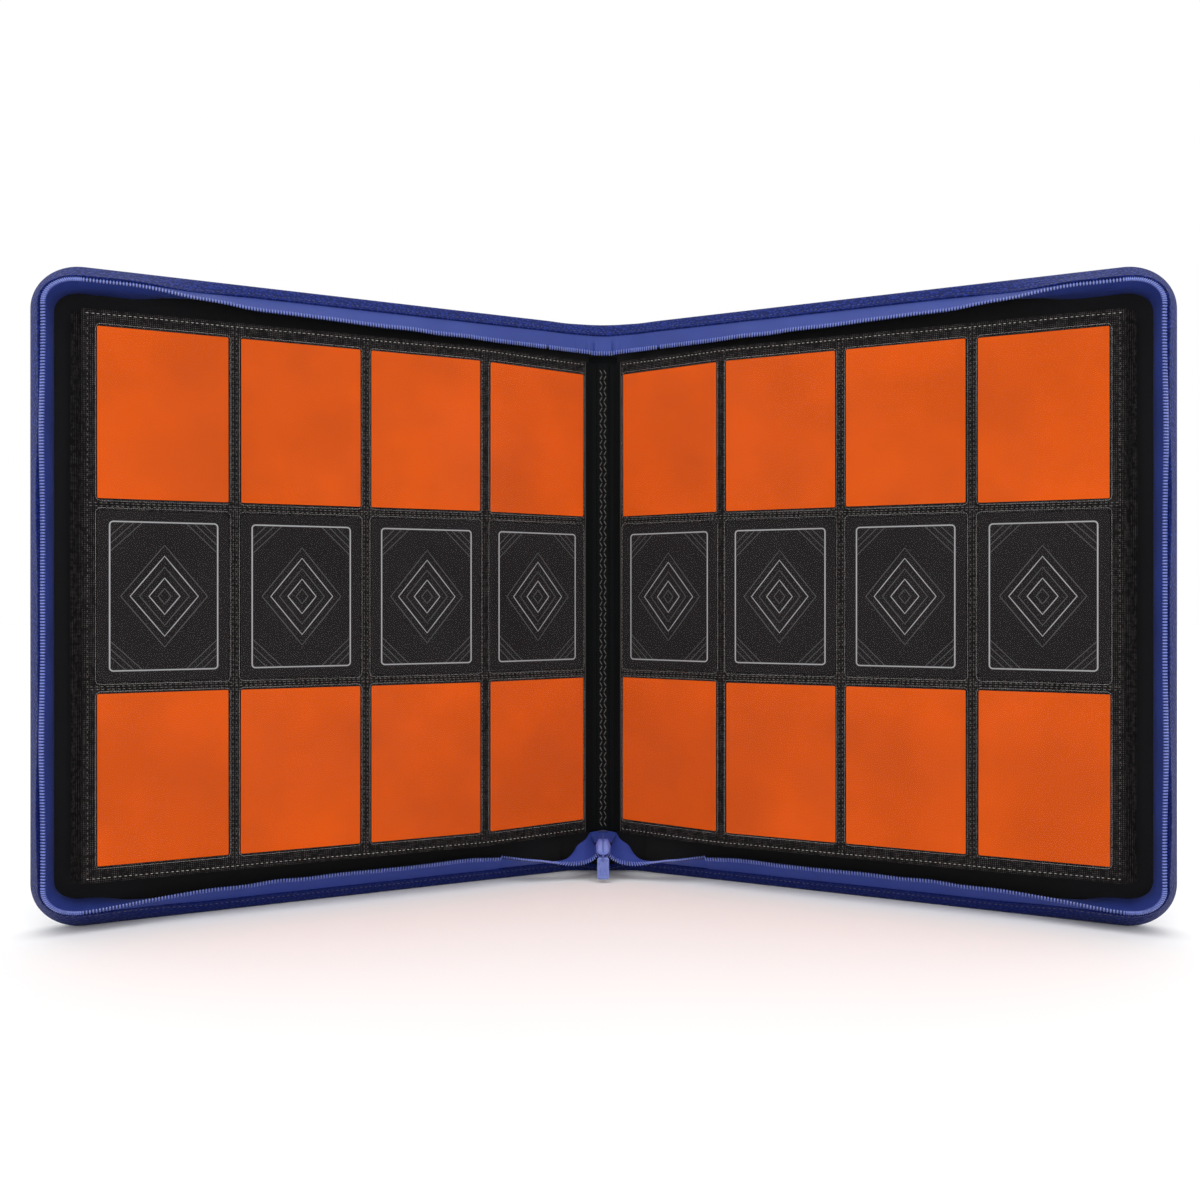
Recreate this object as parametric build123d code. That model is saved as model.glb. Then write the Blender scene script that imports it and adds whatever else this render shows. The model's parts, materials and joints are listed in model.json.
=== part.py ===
from build123d import *
import math
import os

# ---------------------------------------------------------------- driving sizes, mm
COVER_HEIGHT = 347.0            # covers and spine, top to bottom
COVER_LENGTH = 297.0            # from the cover's hinge line to its fore edge
CORNER_RADIUS = 25.0            # outer corners of the covers
PANEL = 6.5                     # thickness of a padded cover
HINGE_HALF_GAP = 24.75          # each cover's hinge line from the middle of the spine
REST_ANGLE = 23.0               # how far each cover is swung forward from flat, degrees
HINGE_CLEARANCE = 3.65          # from the hinge line to the edge of the cover panel

SKIN = 0.9                      # leatherette
COVER_PADDING = 2.6
COVER_BOARD = 2.2
COVER_LINING = 0.8
SPINE_PADDING = 1.3
SPINE_BOARD = 2.2
SPINE_LINING = 0.6

GUSSET_THICK = 1.2              # leatherette strip that stands up from the cover's edge
GUSSET_RISE = 8.2
TAPE_THICK = 0.8                # woven zip tape sewn to the strip
TAPE_WIDTH = 10.5
TAPE_LEAN = 55.0                # how far the long top and bottom tapes flop inward, degrees
TEETH = 2.4                     # thickness of the coil of teeth
WALL_START = 14.0               # walls begin this far from the hinge line
BOTTOM_TAPE_START = 46.0        # and the bottom tape clears the slider

CARD_WIDTH = 63.5
CARD_HEIGHT = 88.9
CARD_THICK = 0.3
CARD_CORNER = 3.0
COLUMN_PITCH = 69.85
ROW_PITCH = 95.2
LEAF_HEIGHT = 296.0
BACKING_THICK = 0.3
FILM_THICK = 0.1
EMPTY_LEAF_THICK = 0.42
FILLED_GAP = 0.33               # air under a filled leaf
EMPTY_GAP_START = 0.12          # air between empty leaves, at their inner edge
EMPTY_GAP_BEND = 0.7            # at the bend, where they puff apart
EMPTY_GAP_FORE = 0.33           # and at the fore edge
LEAF_INNER_ANGLE = 31.0         # first column, measured from flat
LEAF_OUTER_ANGLE = 22.0         # other three columns
LEAF_FOLD = (70.0, 43.2)        # the top leaf's bend: across from the middle, forward of the hinges
LEAF_START = 68.7               # from the bend back to the leaf's inner edge
STACK_TRIM = 3.0                # the stacked leaves start further out, to swing clear of the spine
LEAF_HINGE = 71.0               # from the bend back to the line where a leaf turns
LEAF_BORDER = 7.0               # plain border beyond the last column
LEAF_STAGGER = 0.6              # each lower leaf shows this much more at the fore edge
EMPTY_LEAVES = 8                # in the stack under the two leaves that turn, on each side

STACK_HINGE = (16.0, 6.0)       # across, forward: the line where a stack of leaves swings

STUB_ROOT = (2.7, 23.2)         # closed end of the zip: forward, height, where it leaves the spine
STUB_TIP = (19.6, 22.3)         # and where the slider begins
STOP_PLACE = 1.6                # middle of the end stop, along the stub
STOP_LENGTH = 1.4
SLIDER_START = (20.5, 22.4)     # forward, height of the slider's upper end
SLIDER_TILT = 43.0              # how far the slider points down from level, degrees
SLIDER_LENGTH = 11.0
SLIDER_WIDTH = 8.6
PULL_LENGTH = 12.2
PULL_WIDTH = 7.2

MID_HEIGHT = COVER_HEIGHT / 2
SPINE_FACE = -PANEL / 2 + SKIN + SPINE_PADDING + SPINE_BOARD + SPINE_LINING
FILLED_LEAF_THICK = BACKING_THICK + 2 * (CARD_THICK + FILM_THICK)

# The plan is drawn as (across, forward): forward is -Y, out of the open binder.
# Everything is drawn for the right-hand side, and the left-hand side is its mirror image.


# ---------------------------------------------------------------- plan helpers
def direction(angle):
    """Unit vector in plan, at an angle forward of flat."""
    return (math.cos(math.radians(angle)), math.sin(math.radians(angle)))


def step(point, angle, along, off=0.0):
    """The plan point that lies along a direction, and off to its inner side."""
    ux, uy = direction(angle)
    return (point[0] + ux * along - uy * off, point[1] + uy * along + ux * off)


def prism(points, low, high):
    """A closed plan outline, extruded from one height to another."""
    wire = Polyline([(x, -forward, low) for x, forward in points], close=True)
    return extrude(make_face(wire), amount=high - low, dir=(0, 0, 1))


def slab(start, angle, along, off, low, high):
    """A flat block in plan: spans along and off the direction, between two heights."""
    corners = [
        step(start, angle, along[0], off[0]),
        step(start, angle, along[1], off[0]),
        step(start, angle, along[1], off[1]),
        step(start, angle, along[0], off[1]),
    ]
    return prism(corners, low, high)


def cover_plane(off):
    """Drawing plane of the right cover: X runs out from the hinge, Y up, Z inward."""
    x, forward = step((HINGE_HALF_GAP, 0.0), REST_ANGLE, 0.0, off)
    ux, uy = direction(REST_ANGLE)
    return Plane(origin=(x, -forward, 0), x_dir=(ux, -uy, 0), z_dir=(-uy, -ux, 0))


def mirrored(part):
    """The same part on the other side."""
    return mirror(part, about=Plane.YZ)


# ---------------------------------------------------------------- covers
def cover_outline(inset, start):
    """Outline of a cover, inset from its edges: square at the hinge, round at the fore edge."""
    low = inset
    high = COVER_HEIGHT - inset
    fore = COVER_LENGTH - inset
    radius = CORNER_RADIUS - inset
    with BuildSketch() as sketch:
        with BuildLine():
            Line((start, low), (fore - radius, low))
            RadiusArc((fore - radius, low), (fore, low + radius), -radius)
            Line((fore, low + radius), (fore, high - radius))
            RadiusArc((fore, high - radius), (fore - radius, high), -radius)
            Line((fore - radius, high), (start, high))
            Line((start, high), (start, low))
        make_face()
    return sketch.sketch


def cover_layer(inset, off, thick, start=HINGE_CLEARANCE):
    """One flat layer of a cover."""
    return extrude(cover_plane(off) * cover_outline(inset, start), amount=thick)


def cover_layers():
    """The padded cover: a skin wrapped round its edges, and the layers inside it."""
    back = -PANEL / 2
    padding_off = back + SKIN
    board_off = padding_off + COVER_PADDING
    lining_off = board_off + COVER_BOARD
    skin = cover_layer(0.0, back, PANEL) - cover_layer(SKIN, padding_off, PANEL, HINGE_CLEARANCE - 1)
    return {
        "skin": skin,
        "padding": cover_layer(SKIN, padding_off, COVER_PADDING),
        "board": cover_layer(SKIN, board_off, COVER_BOARD),
        "lining": cover_layer(SKIN, lining_off, COVER_LINING),
    }


def wall_ring(inset, thick, off, rise, start):
    """An upright wall that follows the cover's three free edges."""
    outer = cover_layer(inset, off, rise, start)
    inner = cover_layer(inset + thick, off, rise, start - 1)
    return outer - inner


def cover_zone(low, high, start, fore):
    """A block in the cover's own frame, for cutting a wall into its runs."""
    sketch = Pos((start + fore) / 2, (low + high) / 2) * Rectangle(fore - start, high - low)
    return extrude(cover_plane(PANEL / 2) * sketch, amount=60)


def fore_zone():
    """The stretch of a wall that turns both corners and runs up the fore edge."""
    return cover_zone(-1, COVER_HEIGHT + 1, COVER_LENGTH - CORNER_RADIUS, COVER_LENGTH + 1)


def leaning_strip(outer_inset, off, along, down, thick, shift, width, top):
    """A straight strip on the top or bottom edge that flops inward over the pages.

    Its section starts at an inset from the edge, moved along its lean by shift.
    """
    lean_in, lean_up = math.sin(math.radians(TAPE_LEAN)), math.cos(math.radians(TAPE_LEAN))

    def corner(across, depth):
        inset = outer_inset + lean_in * across + lean_up * depth
        rise = off + lean_up * across - lean_in * depth
        height = COVER_HEIGHT - inset if top else inset
        x, forward = step((HINGE_HALF_GAP, 0.0), REST_ANGLE, along[0], rise)
        return (x, -forward, height)

    near, far = shift, shift + width
    ends = ((near, down), (far, down), (far, down + thick), (near, down + thick))
    outline = Polyline([corner(across, depth) for across, depth in ends], close=True)
    ux, uy = direction(REST_ANGLE)
    return extrude(make_face(outline), amount=along[1] - along[0], dir=(ux, -uy, 0))


def cover_walls():
    """Leatherette strips, zip tapes and teeth on the three free edges of a cover."""
    gusset_off = PANEL / 2
    tape_off = gusset_off + GUSSET_RISE
    tape_inset = GUSSET_THICK + 0.2
    straight_end = COVER_LENGTH - CORNER_RADIUS
    gusset = wall_ring(0.0, GUSSET_THICK, gusset_off, GUSSET_RISE, WALL_START)
    upper = cover_zone(MID_HEIGHT, COVER_HEIGHT + 1, 0.0, straight_end)
    lower = cover_zone(-1, MID_HEIGHT, 0.0, straight_end)
    tape = wall_ring(tape_inset, TAPE_THICK, tape_off, TAPE_WIDTH, WALL_START)
    teeth_inset = tape_inset + (TAPE_THICK - TEETH) / 2
    teeth_off = tape_off + TAPE_WIDTH
    teeth = wall_ring(teeth_inset, TEETH, teeth_off, TEETH, WALL_START) & fore_zone()

    teeth_drop = (TAPE_THICK - TEETH) / 2

    def leaning(shift, width, thick, start, top):
        along = (start, straight_end)
        down = teeth_drop if thick == TEETH else 0.0
        return leaning_strip(tape_inset, tape_off, along, down, thick, shift, width, top)

    return {
        "gusset_top": gusset & upper,
        "gusset_fore": gusset & fore_zone(),
        "gusset_bottom": gusset & lower,
        "tape_top": leaning(0.6, TAPE_WIDTH - 0.6, TAPE_THICK, WALL_START, True),
        "tape_fore": tape & fore_zone(),
        "tape_bottom": leaning(0.6, TAPE_WIDTH - 0.6, TAPE_THICK, BOTTOM_TAPE_START, False),
        "teeth_top": leaning(TAPE_WIDTH, TEETH, TEETH, WALL_START, True),
        "teeth_fore": teeth,
        "teeth_bottom": leaning(TAPE_WIDTH, TEETH, TEETH, BOTTOM_TAPE_START, False),
    }


# ---------------------------------------------------------------- spine
def stadium(radius, low, high):
    """The spine's section: flat faces, and round ends about the two hinge lines."""
    with BuildSketch(Plane.XY.offset(low)) as sketch:
        Rectangle(2 * HINGE_HALF_GAP, 2 * radius)
        with Locations((HINGE_HALF_GAP, 0), (-HINGE_HALF_GAP, 0)):
            Circle(radius)
    return extrude(sketch.sketch, amount=high - low)


def block(half_width, forward, low, high):
    """A block across the middle of the spine."""
    depth = forward[1] - forward[0]
    middle = Pos(0, -(forward[0] + forward[1]) / 2, (low + high) / 2)
    return middle * Box(2 * half_width, depth, high - low)


def spine_layers():
    """Skin with rounded sides that the covers swing round, and the layers inside it."""
    back = -PANEL / 2
    padding = back + SKIN
    board = padding + SPINE_PADDING
    lining = board + SPINE_BOARD
    half_width = HINGE_HALF_GAP - 2.0
    skin = stadium(PANEL / 2, 0, COVER_HEIGHT)
    skin -= block(half_width, (padding, PANEL), -1, COVER_HEIGHT + 1)
    edge = SKIN
    top = COVER_HEIGHT - SKIN
    return {
        "skin": skin,
        "padding": block(half_width, (padding, board), edge, top),
        "board": block(half_width, (board, lining), edge, top),
        "lining": block(half_width, (lining, SPINE_FACE), edge, top),
    }


def binding():
    """The strip that holds the leaves, their pressed margins, and the zigzag stitching."""
    low = MID_HEIGHT - LEAF_HEIGHT / 2
    high = MID_HEIGHT + LEAF_HEIGHT / 2
    strip = block(9.0, (SPINE_FACE, SPINE_FACE + 0.8), low - 4, high + 4)
    margins_top = SPINE_FACE + 3.4
    margins = block(6.5, (SPINE_FACE + 0.8, margins_top), low, high)
    stitch_count = 36
    pitch = (LEAF_HEIGHT - 16) / stitch_count
    stitches = []
    for index in range(stitch_count):
        lean = 30 if index % 2 else -30
        height = low + 8 + (index + 0.5) * pitch
        place = Pos(0, -margins_top - 0.25, height) * Rot(0, lean, 0)
        stitches.append(place * Box(0.8, 0.5, pitch * 0.86))
    return {"strip": strip, "margins": margins, "stitching": Compound(stitches)}


def spine_ends():
    """Leatherette strips and zip tape that carry the walls across both ends of the spine."""
    gusset = block(18.0, (SPINE_FACE, 7.5), 0.6, 0.6 + GUSSET_THICK)
    gusset_top = block(18.0, (SPINE_FACE, 7.5), COVER_HEIGHT - 0.6 - GUSSET_THICK, COVER_HEIGHT - 0.6)
    tape_top = block(17.0, (7.5, 12.5), COVER_HEIGHT - 4.0, COVER_HEIGHT - 4.0 + TAPE_THICK)
    web = block(17.0, (6.7, 7.5), COVER_HEIGHT - 4.0, COVER_HEIGHT - 0.6 - GUSSET_THICK)
    return {"gusset_bottom": gusset, "gusset_top": gusset_top, "zip_bridge": tape_top + web}


# ---------------------------------------------------------------- zip stub and slider
def side_plane(start, slope, along, lift):
    """Drawing plane on the middle line: X across, Y forward down a slope, Z up from it."""
    run = direction(-slope)
    up = (-run[1], run[0])
    forward = start[0] + run[0] * along + up[0] * lift
    height = start[1] + run[1] * along + up[1] * lift
    return Plane(origin=(0, -forward, height), x_dir=(-1, 0, 0), z_dir=(0, -up[0], up[1]))


def stub_plane(lift=0.0):
    """Drawing plane of the closed zip, from the spine forward."""
    slope = math.atan2(STUB_ROOT[1] - STUB_TIP[1], STUB_TIP[0] - STUB_ROOT[0])
    return side_plane(STUB_ROOT, math.degrees(slope), 0.0, lift)


def slider_plane(along=0.0, lift=0.0):
    """Drawing plane of the slider, from its upper end down to its nose."""
    return side_plane(SLIDER_START, SLIDER_TILT, along, lift)


def zip_stub():
    """The closed end of the zip: two tapes side by side, their teeth, and the end stop."""
    length = math.dist(STUB_ROOT, STUB_TIP)
    with BuildSketch() as outline:
        with BuildLine():
            Polyline((-9, 0), (9, 0), (4.6, length), (-4.6, length), close=True)
        make_face()
    tape = extrude(stub_plane() * outline.sketch, amount=TAPE_THICK)
    stop_sketch = Pos(0, STOP_PLACE) * Rectangle(6.0, STOP_LENGTH)
    stop = extrude(stub_plane(TAPE_THICK) * stop_sketch, amount=1.2)
    teeth_start = STOP_PLACE + STOP_LENGTH
    teeth_sketch = Pos(0, (teeth_start + length) / 2) * Rectangle(3.2, length - teeth_start)
    teeth = extrude(stub_plane(TAPE_THICK) * teeth_sketch, amount=1.2)
    return {"closed_tape": tape, "closed_teeth": teeth, "end_stop": stop}


def slider():
    """Two plates joined by a post at the upper end, with a lug below that holds the pull."""
    post_length = 3.0
    lug_back, lug_front = SLIDER_LENGTH - 3.0, SLIDER_LENGTH + 3.2
    plate = Pos(0, SLIDER_LENGTH / 2) * RectangleRounded(SLIDER_WIDTH, SLIDER_LENGTH, 2.2)
    front_plate = extrude(slider_plane(0, 2.6) * plate, amount=1.2)
    back_plate = extrude(slider_plane(0, -1.6) * plate, amount=1.2)
    post_sketch = Pos(0, SLIDER_LENGTH - post_length) * RectangleRounded(2.6, post_length, 0.8)
    post = extrude(slider_plane(0, -1.0) * post_sketch, amount=4.2)
    lug_sketch = Pos(0, (lug_back + lug_front) / 2) * Rectangle(2.4, lug_front - lug_back)
    lug = extrude(slider_plane(0, 0.6) * lug_sketch, amount=2.0)
    return front_plate + back_plate + post + lug - pull_pin(0.8, 4.0)


def pull_pivot():
    """Forward and height of the pull's hinge pin."""
    origin = slider_plane(SLIDER_LENGTH + 2.2, 1.6).origin
    return (-origin.Y, origin.Z)


def pull_pin(radius, length):
    """A pin through the lug, along X."""
    forward, height = pull_pivot()
    return Pos(0, -forward, height) * Rot(0, 90, 0) * Cylinder(radius, length)


def pull():
    """A flat tab with a pin across the fork at its top."""
    forward, height = pull_pivot()
    fork_gap = 3.2
    tab_thick = 1.2
    tab_top = height + 0.9
    tab_low = height - PULL_LENGTH
    with BuildSketch(Plane.XZ) as outline:
        with Locations((0, (tab_top + tab_low) / 2)):
            RectangleRounded(PULL_WIDTH, tab_top - tab_low, 1.6)
        with Locations((0, height)):
            Rectangle(fork_gap, 5.6, mode=Mode.SUBTRACT)
    tab = Pos(0, -forward + tab_thick / 2, 0) * extrude(outline.sketch, amount=tab_thick)
    return tab + pull_pin(0.5, PULL_WIDTH - 1.6)


# ---------------------------------------------------------------- leaves
def leaf_thicknesses():
    """Thickness of each leaf on one side, from the top one down."""
    return [FILLED_LEAF_THICK] * 2 + [EMPTY_LEAF_THICK] * EMPTY_LEAVES


def leaf_drop(number, empty_gap):
    """How far the middle of a leaf lies under the middle of the top leaf."""
    thick = leaf_thicknesses()
    filled = len(thick) - EMPTY_LEAVES
    drop = 0.0
    for index in range(number):
        gap = FILLED_GAP if index < filled else empty_gap
        drop += (thick[index] + thick[index + 1]) / 2 + gap
    return drop


def leaf_frame(number):
    """A leaf's bend point, and the angles of its first column and of the other three."""
    start = leaf_drop(number, EMPTY_GAP_START)
    middle = leaf_drop(number, EMPTY_GAP_BEND)
    fore = leaf_drop(number, EMPTY_GAP_FORE)
    bend = step(LEAF_FOLD, (LEAF_INNER_ANGLE + LEAF_OUTER_ANGLE) / 2, 0.0, -middle)
    inner = LEAF_INNER_ANGLE - math.degrees(math.atan2(middle - start, LEAF_START))
    outer = LEAF_OUTER_ANGLE + math.degrees(math.atan2(middle - fore, leaf_length(number)))
    return bend, inner, outer


def leaf_length(number):
    """From the bend to the leaf's fore edge."""
    columns = 3 * CARD_WIDTH + 2.5 * (COLUMN_PITCH - CARD_WIDTH)
    return columns + LEAF_BORDER + LEAF_STAGGER * number


def bent_sheet(number, off, low, high, start_trim=0.0, fore_trim=0.0):
    """A sheet that follows a leaf: first column, bend, then the other three columns."""
    bend, inner, outer = leaf_frame(number)
    half_turn = math.radians(inner - outer) / 2
    middle_angle = (inner + outer) / 2

    def bend_point(side):
        return step(bend, middle_angle, 0.0, side / math.cos(half_turn))

    points = []
    for side in off:
        start = step(bend, inner, -LEAF_START + start_trim, side)
        fore = step(bend, outer, leaf_length(number) - fore_trim, side)
        points.append([start, bend_point(side), fore])
    return prism(points[0] + points[1][::-1], low, high)


def pocket_centres(number):
    """Plan place and angle of each column of pockets, and the height of each row."""
    bend, inner, outer = leaf_frame(number)
    half_gap = (COLUMN_PITCH - CARD_WIDTH) / 2
    columns = [(step(bend, inner, -half_gap - CARD_WIDTH / 2), inner)]
    for index in range(3):
        along = half_gap + CARD_WIDTH / 2 + index * COLUMN_PITCH
        columns.append((step(bend, outer, along), outer))
    rows = [MID_HEIGHT + ROW_PITCH * row for row in (-1, 0, 1)]
    return columns, rows


def card(centre, angle, off, height, width, tall, thick, radius):
    """A card or a pocket space that stands in a leaf, off its middle."""
    x, forward = step(centre, angle, 0.0, off)
    ux, uy = direction(angle)
    plane = Plane(origin=(x, -forward, height), x_dir=(ux, -uy, 0), z_dir=(-uy, -ux, 0))
    outline = RectangleRounded(width, tall, radius) if radius else Rectangle(width, tall)
    return extrude(plane * outline, amount=thick)


def leaf_cards(number, rows_wanted):
    """The cards in the wanted rows, on both faces of a leaf."""
    columns, rows = pocket_centres(number)
    cards = []
    for off in (BACKING_THICK / 2, -BACKING_THICK / 2 - CARD_THICK):
        for centre, angle in columns:
            for row in rows_wanted:
                size = (CARD_WIDTH, CARD_HEIGHT, CARD_THICK, CARD_CORNER)
                cards.append(card(centre, angle, off, rows[row], *size))
    return Compound(cards)


def leaf_pockets(number):
    """The two clear films, each with twelve pocket spaces that hold the cards."""
    low = MID_HEIGHT - LEAF_HEIGHT / 2 + 0.5
    high = MID_HEIGHT + LEAF_HEIGHT / 2 - 0.5
    columns, rows = pocket_centres(number)
    films = []
    space = CARD_THICK + FILM_THICK
    for side in (1, -1):
        near = side * BACKING_THICK / 2
        far = side * (BACKING_THICK / 2 + space)
        film = bent_sheet(number, (near, far), low, high, 0.5, 0.5)
        off = near if side > 0 else near - CARD_THICK
        for centre, angle in columns:
            for height in rows:
                film -= card(centre, angle, off, height, CARD_WIDTH + 0.6, CARD_HEIGHT + 0.6, CARD_THICK, 0)
        films.append(film)
    return Compound([solid for film in films for solid in film.solids()])


def turning_leaf(number):
    """A leaf with cards in it: woven backing, clear pockets, bright inserts and dark cards."""
    low = MID_HEIGHT - LEAF_HEIGHT / 2
    high = MID_HEIGHT + LEAF_HEIGHT / 2
    off = (-BACKING_THICK / 2, BACKING_THICK / 2)
    return {
        "backing": bent_sheet(number, off, low, high),
        "pockets": leaf_pockets(number),
        "insert_cards": leaf_cards(number, (0, 2)),
        "dark_cards": leaf_cards(number, (1,)),
    }


def leaf_stack():
    """The empty leaves that lie under the two filled ones."""
    low = MID_HEIGHT - LEAF_HEIGHT / 2
    high = MID_HEIGHT + LEAF_HEIGHT / 2
    off = (-EMPTY_LEAF_THICK / 2, EMPTY_LEAF_THICK / 2)
    first = len(leaf_thicknesses()) - EMPTY_LEAVES
    numbers = range(first, first + EMPTY_LEAVES)
    return Compound([bent_sheet(number, off, low, high, STACK_TRIM) for number in numbers])


def leaf_hinge(number):
    """Plan place of the line where a leaf turns."""
    bend, inner, outer = leaf_frame(number)
    return step(bend, inner, -LEAF_HINGE)


# ---------------------------------------------------------------- the whole binder
def build():
    """Every piece by name, drawn about the spine's hinge lines."""
    parts = {}
    for name, piece in spine_layers().items():
        parts["spine_" + name] = piece
    for name, piece in binding().items():
        parts["binding_" + name] = piece
    for name, piece in spine_ends().items():
        parts["spine_" + name] = piece
    for name, piece in zip_stub().items():
        parts["zip_" + name] = piece
    parts["zip_slider"] = slider()
    parts["zip_pull"] = pull()
    sided = {}
    for name, piece in {**cover_layers(), **cover_walls()}.items():
        sided["cover_" + name] = piece
    for number in (0, 1):
        for name, piece in turning_leaf(number).items():
            sided["leaf_" + str(number + 1) + "_" + name] = piece
    sided["leaf_stack"] = leaf_stack()
    for name, piece in sided.items():
        parts["right_" + name] = piece
        parts["left_" + name] = mirrored(piece)
    return parts


def main():
    """Centre the binder over its origin and write one file for each piece."""
    parts = build()
    whole = Compound([solid for piece in parts.values() for solid in piece.solids()]).bounding_box()
    shift = -(whole.min.Y + whole.max.Y) / 2
    os.makedirs("parts", exist_ok=True)
    for name, piece in parts.items():
        export_step(Pos(0, shift, 0) * piece, "parts/" + name + ".step")
    print("size", whole.size.X, whole.size.Y, whole.size.Z, "lowest", whole.min.Z)
    print("cover hinge", HINGE_HALF_GAP, shift)
    print("stack hinge", STACK_HINGE[0], shift - STACK_HINGE[1])
    for number in (0, 1):
        x, forward = leaf_hinge(number)
        print("leaf hinge", number + 1, x, shift - forward)
    forward, height = pull_pivot()
    print("pull pivot", shift - forward, height)
    print("slider axis", slider_plane().y_dir)


main()
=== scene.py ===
"""Looks of a zippered trading card binder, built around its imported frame.

Lengths are in millimetres while a piece is being made, and in metres in its mesh.
"""

import json
import logging
import math
from dataclasses import dataclass
from dataclasses import fields
from enum import Enum

import bmesh
import bpy
import numpy as np
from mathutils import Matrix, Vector

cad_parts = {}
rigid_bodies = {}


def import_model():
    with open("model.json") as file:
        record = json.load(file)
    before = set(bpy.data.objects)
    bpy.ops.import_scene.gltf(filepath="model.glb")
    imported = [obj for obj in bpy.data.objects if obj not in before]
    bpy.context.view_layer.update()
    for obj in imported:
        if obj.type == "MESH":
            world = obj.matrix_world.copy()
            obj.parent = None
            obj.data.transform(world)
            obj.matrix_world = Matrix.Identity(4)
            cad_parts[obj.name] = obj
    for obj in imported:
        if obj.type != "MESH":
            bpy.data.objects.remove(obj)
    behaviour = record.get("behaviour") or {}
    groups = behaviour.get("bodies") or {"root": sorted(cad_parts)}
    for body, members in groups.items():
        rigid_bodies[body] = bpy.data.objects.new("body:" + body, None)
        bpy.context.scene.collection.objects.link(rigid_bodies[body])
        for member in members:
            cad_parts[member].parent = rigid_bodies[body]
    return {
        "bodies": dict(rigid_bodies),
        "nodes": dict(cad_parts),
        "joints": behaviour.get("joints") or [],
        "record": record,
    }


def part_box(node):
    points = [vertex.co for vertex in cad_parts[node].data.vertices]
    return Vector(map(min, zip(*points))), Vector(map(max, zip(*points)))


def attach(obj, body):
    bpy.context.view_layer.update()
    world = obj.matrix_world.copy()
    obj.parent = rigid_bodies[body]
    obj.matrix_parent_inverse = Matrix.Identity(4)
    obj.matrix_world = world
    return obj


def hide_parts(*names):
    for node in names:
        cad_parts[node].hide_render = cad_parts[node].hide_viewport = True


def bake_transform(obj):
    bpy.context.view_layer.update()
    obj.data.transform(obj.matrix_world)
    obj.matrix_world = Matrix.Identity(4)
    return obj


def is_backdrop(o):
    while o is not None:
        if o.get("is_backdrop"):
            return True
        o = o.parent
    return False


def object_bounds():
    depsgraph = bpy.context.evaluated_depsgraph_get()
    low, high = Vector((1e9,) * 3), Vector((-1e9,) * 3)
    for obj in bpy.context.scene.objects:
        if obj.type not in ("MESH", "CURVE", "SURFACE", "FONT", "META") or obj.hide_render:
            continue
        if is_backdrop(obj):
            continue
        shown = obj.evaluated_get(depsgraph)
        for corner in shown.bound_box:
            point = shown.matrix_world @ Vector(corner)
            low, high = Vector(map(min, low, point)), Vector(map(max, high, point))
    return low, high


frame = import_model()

LOG = logging.getLogger("binder")
MM = 0.001


class Side(Enum):
    """The two halves of the binder."""

    LEFT = "left"
    RIGHT = "right"

    @property
    def sign(self) -> float:
        """-1 on the left, +1 on the right."""
        return -1.0 if self is Side.LEFT else 1.0


class Edge(Enum):
    """The two ends of the spine."""

    LOW = "low"
    HIGH = "high"


def smooth(value: np.ndarray | float) -> np.ndarray:
    """Soft step from 0 to 1.

    Args:
        value: anything; below 0 counts as 0 and above 1 as 1.

    Returns:
        The eased value.
    """
    kept = np.clip(value, 0.0, 1.0)
    return kept * kept * (3.0 - 2.0 * kept)


def heading(angle: np.ndarray | float) -> np.ndarray:
    """Unit plan direction (across, forward) at an angle in degrees."""
    turn = np.radians(angle)
    return np.stack([np.cos(turn), np.sin(turn)], -1)


def spline(points: list[tuple[float, ...]], count: int) -> np.ndarray:
    """A smooth line through some points.

    Args:
        points: the places that it passes, in order.
        count: how many samples to take.

    Returns:
        The samples, evenly spread between the points.
    """
    knots = np.array(points, float)
    ends = np.vstack([2 * knots[0] - knots[1], knots, 2 * knots[-1] - knots[-2]])
    at = np.linspace(0, len(knots) - 1, count)
    first = np.minimum(at.astype(int), len(knots) - 2)
    t = (at - first)[:, None]
    a, b, c, d = (ends[first + step] for step in range(4))
    return 0.5 * (2 * b + (c - a) * t + (2 * a - 5 * b + 4 * c - d) * t**2 + (3 * b - a - 3 * c + d) * t**3)


def lengths(path: np.ndarray) -> np.ndarray:
    """How far along a line each of its points is."""
    return np.concatenate([[0], np.cumsum(np.linalg.norm(np.diff(path, axis=0), axis=1))])


def bezier(t: np.ndarray, start: np.ndarray, leave: np.ndarray, arrive: np.ndarray,
           end: np.ndarray) -> np.ndarray:
    """A smooth curve between two points.

    Args:
        t: (n, 1) shares of the way.
        start: where it begins.
        leave: the point that it heads for at first.
        arrive: the point that it comes from at last.
        end: where it ends.

    Returns:
        (n, 2) points.
    """
    return (1 - t) ** 3 * start + 3 * (1 - t) ** 2 * t * leave + 3 * (1 - t) * t**2 * arrive + t**3 * end


def square(plan: np.ndarray) -> np.ndarray:
    """Unit directions square to a plan line, to its left."""
    way = np.gradient(plan, axis=0)
    way /= np.linalg.norm(way, axis=1, keepdims=True)
    return np.stack([-way[:, 1], way[:, 0]], -1)


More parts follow.
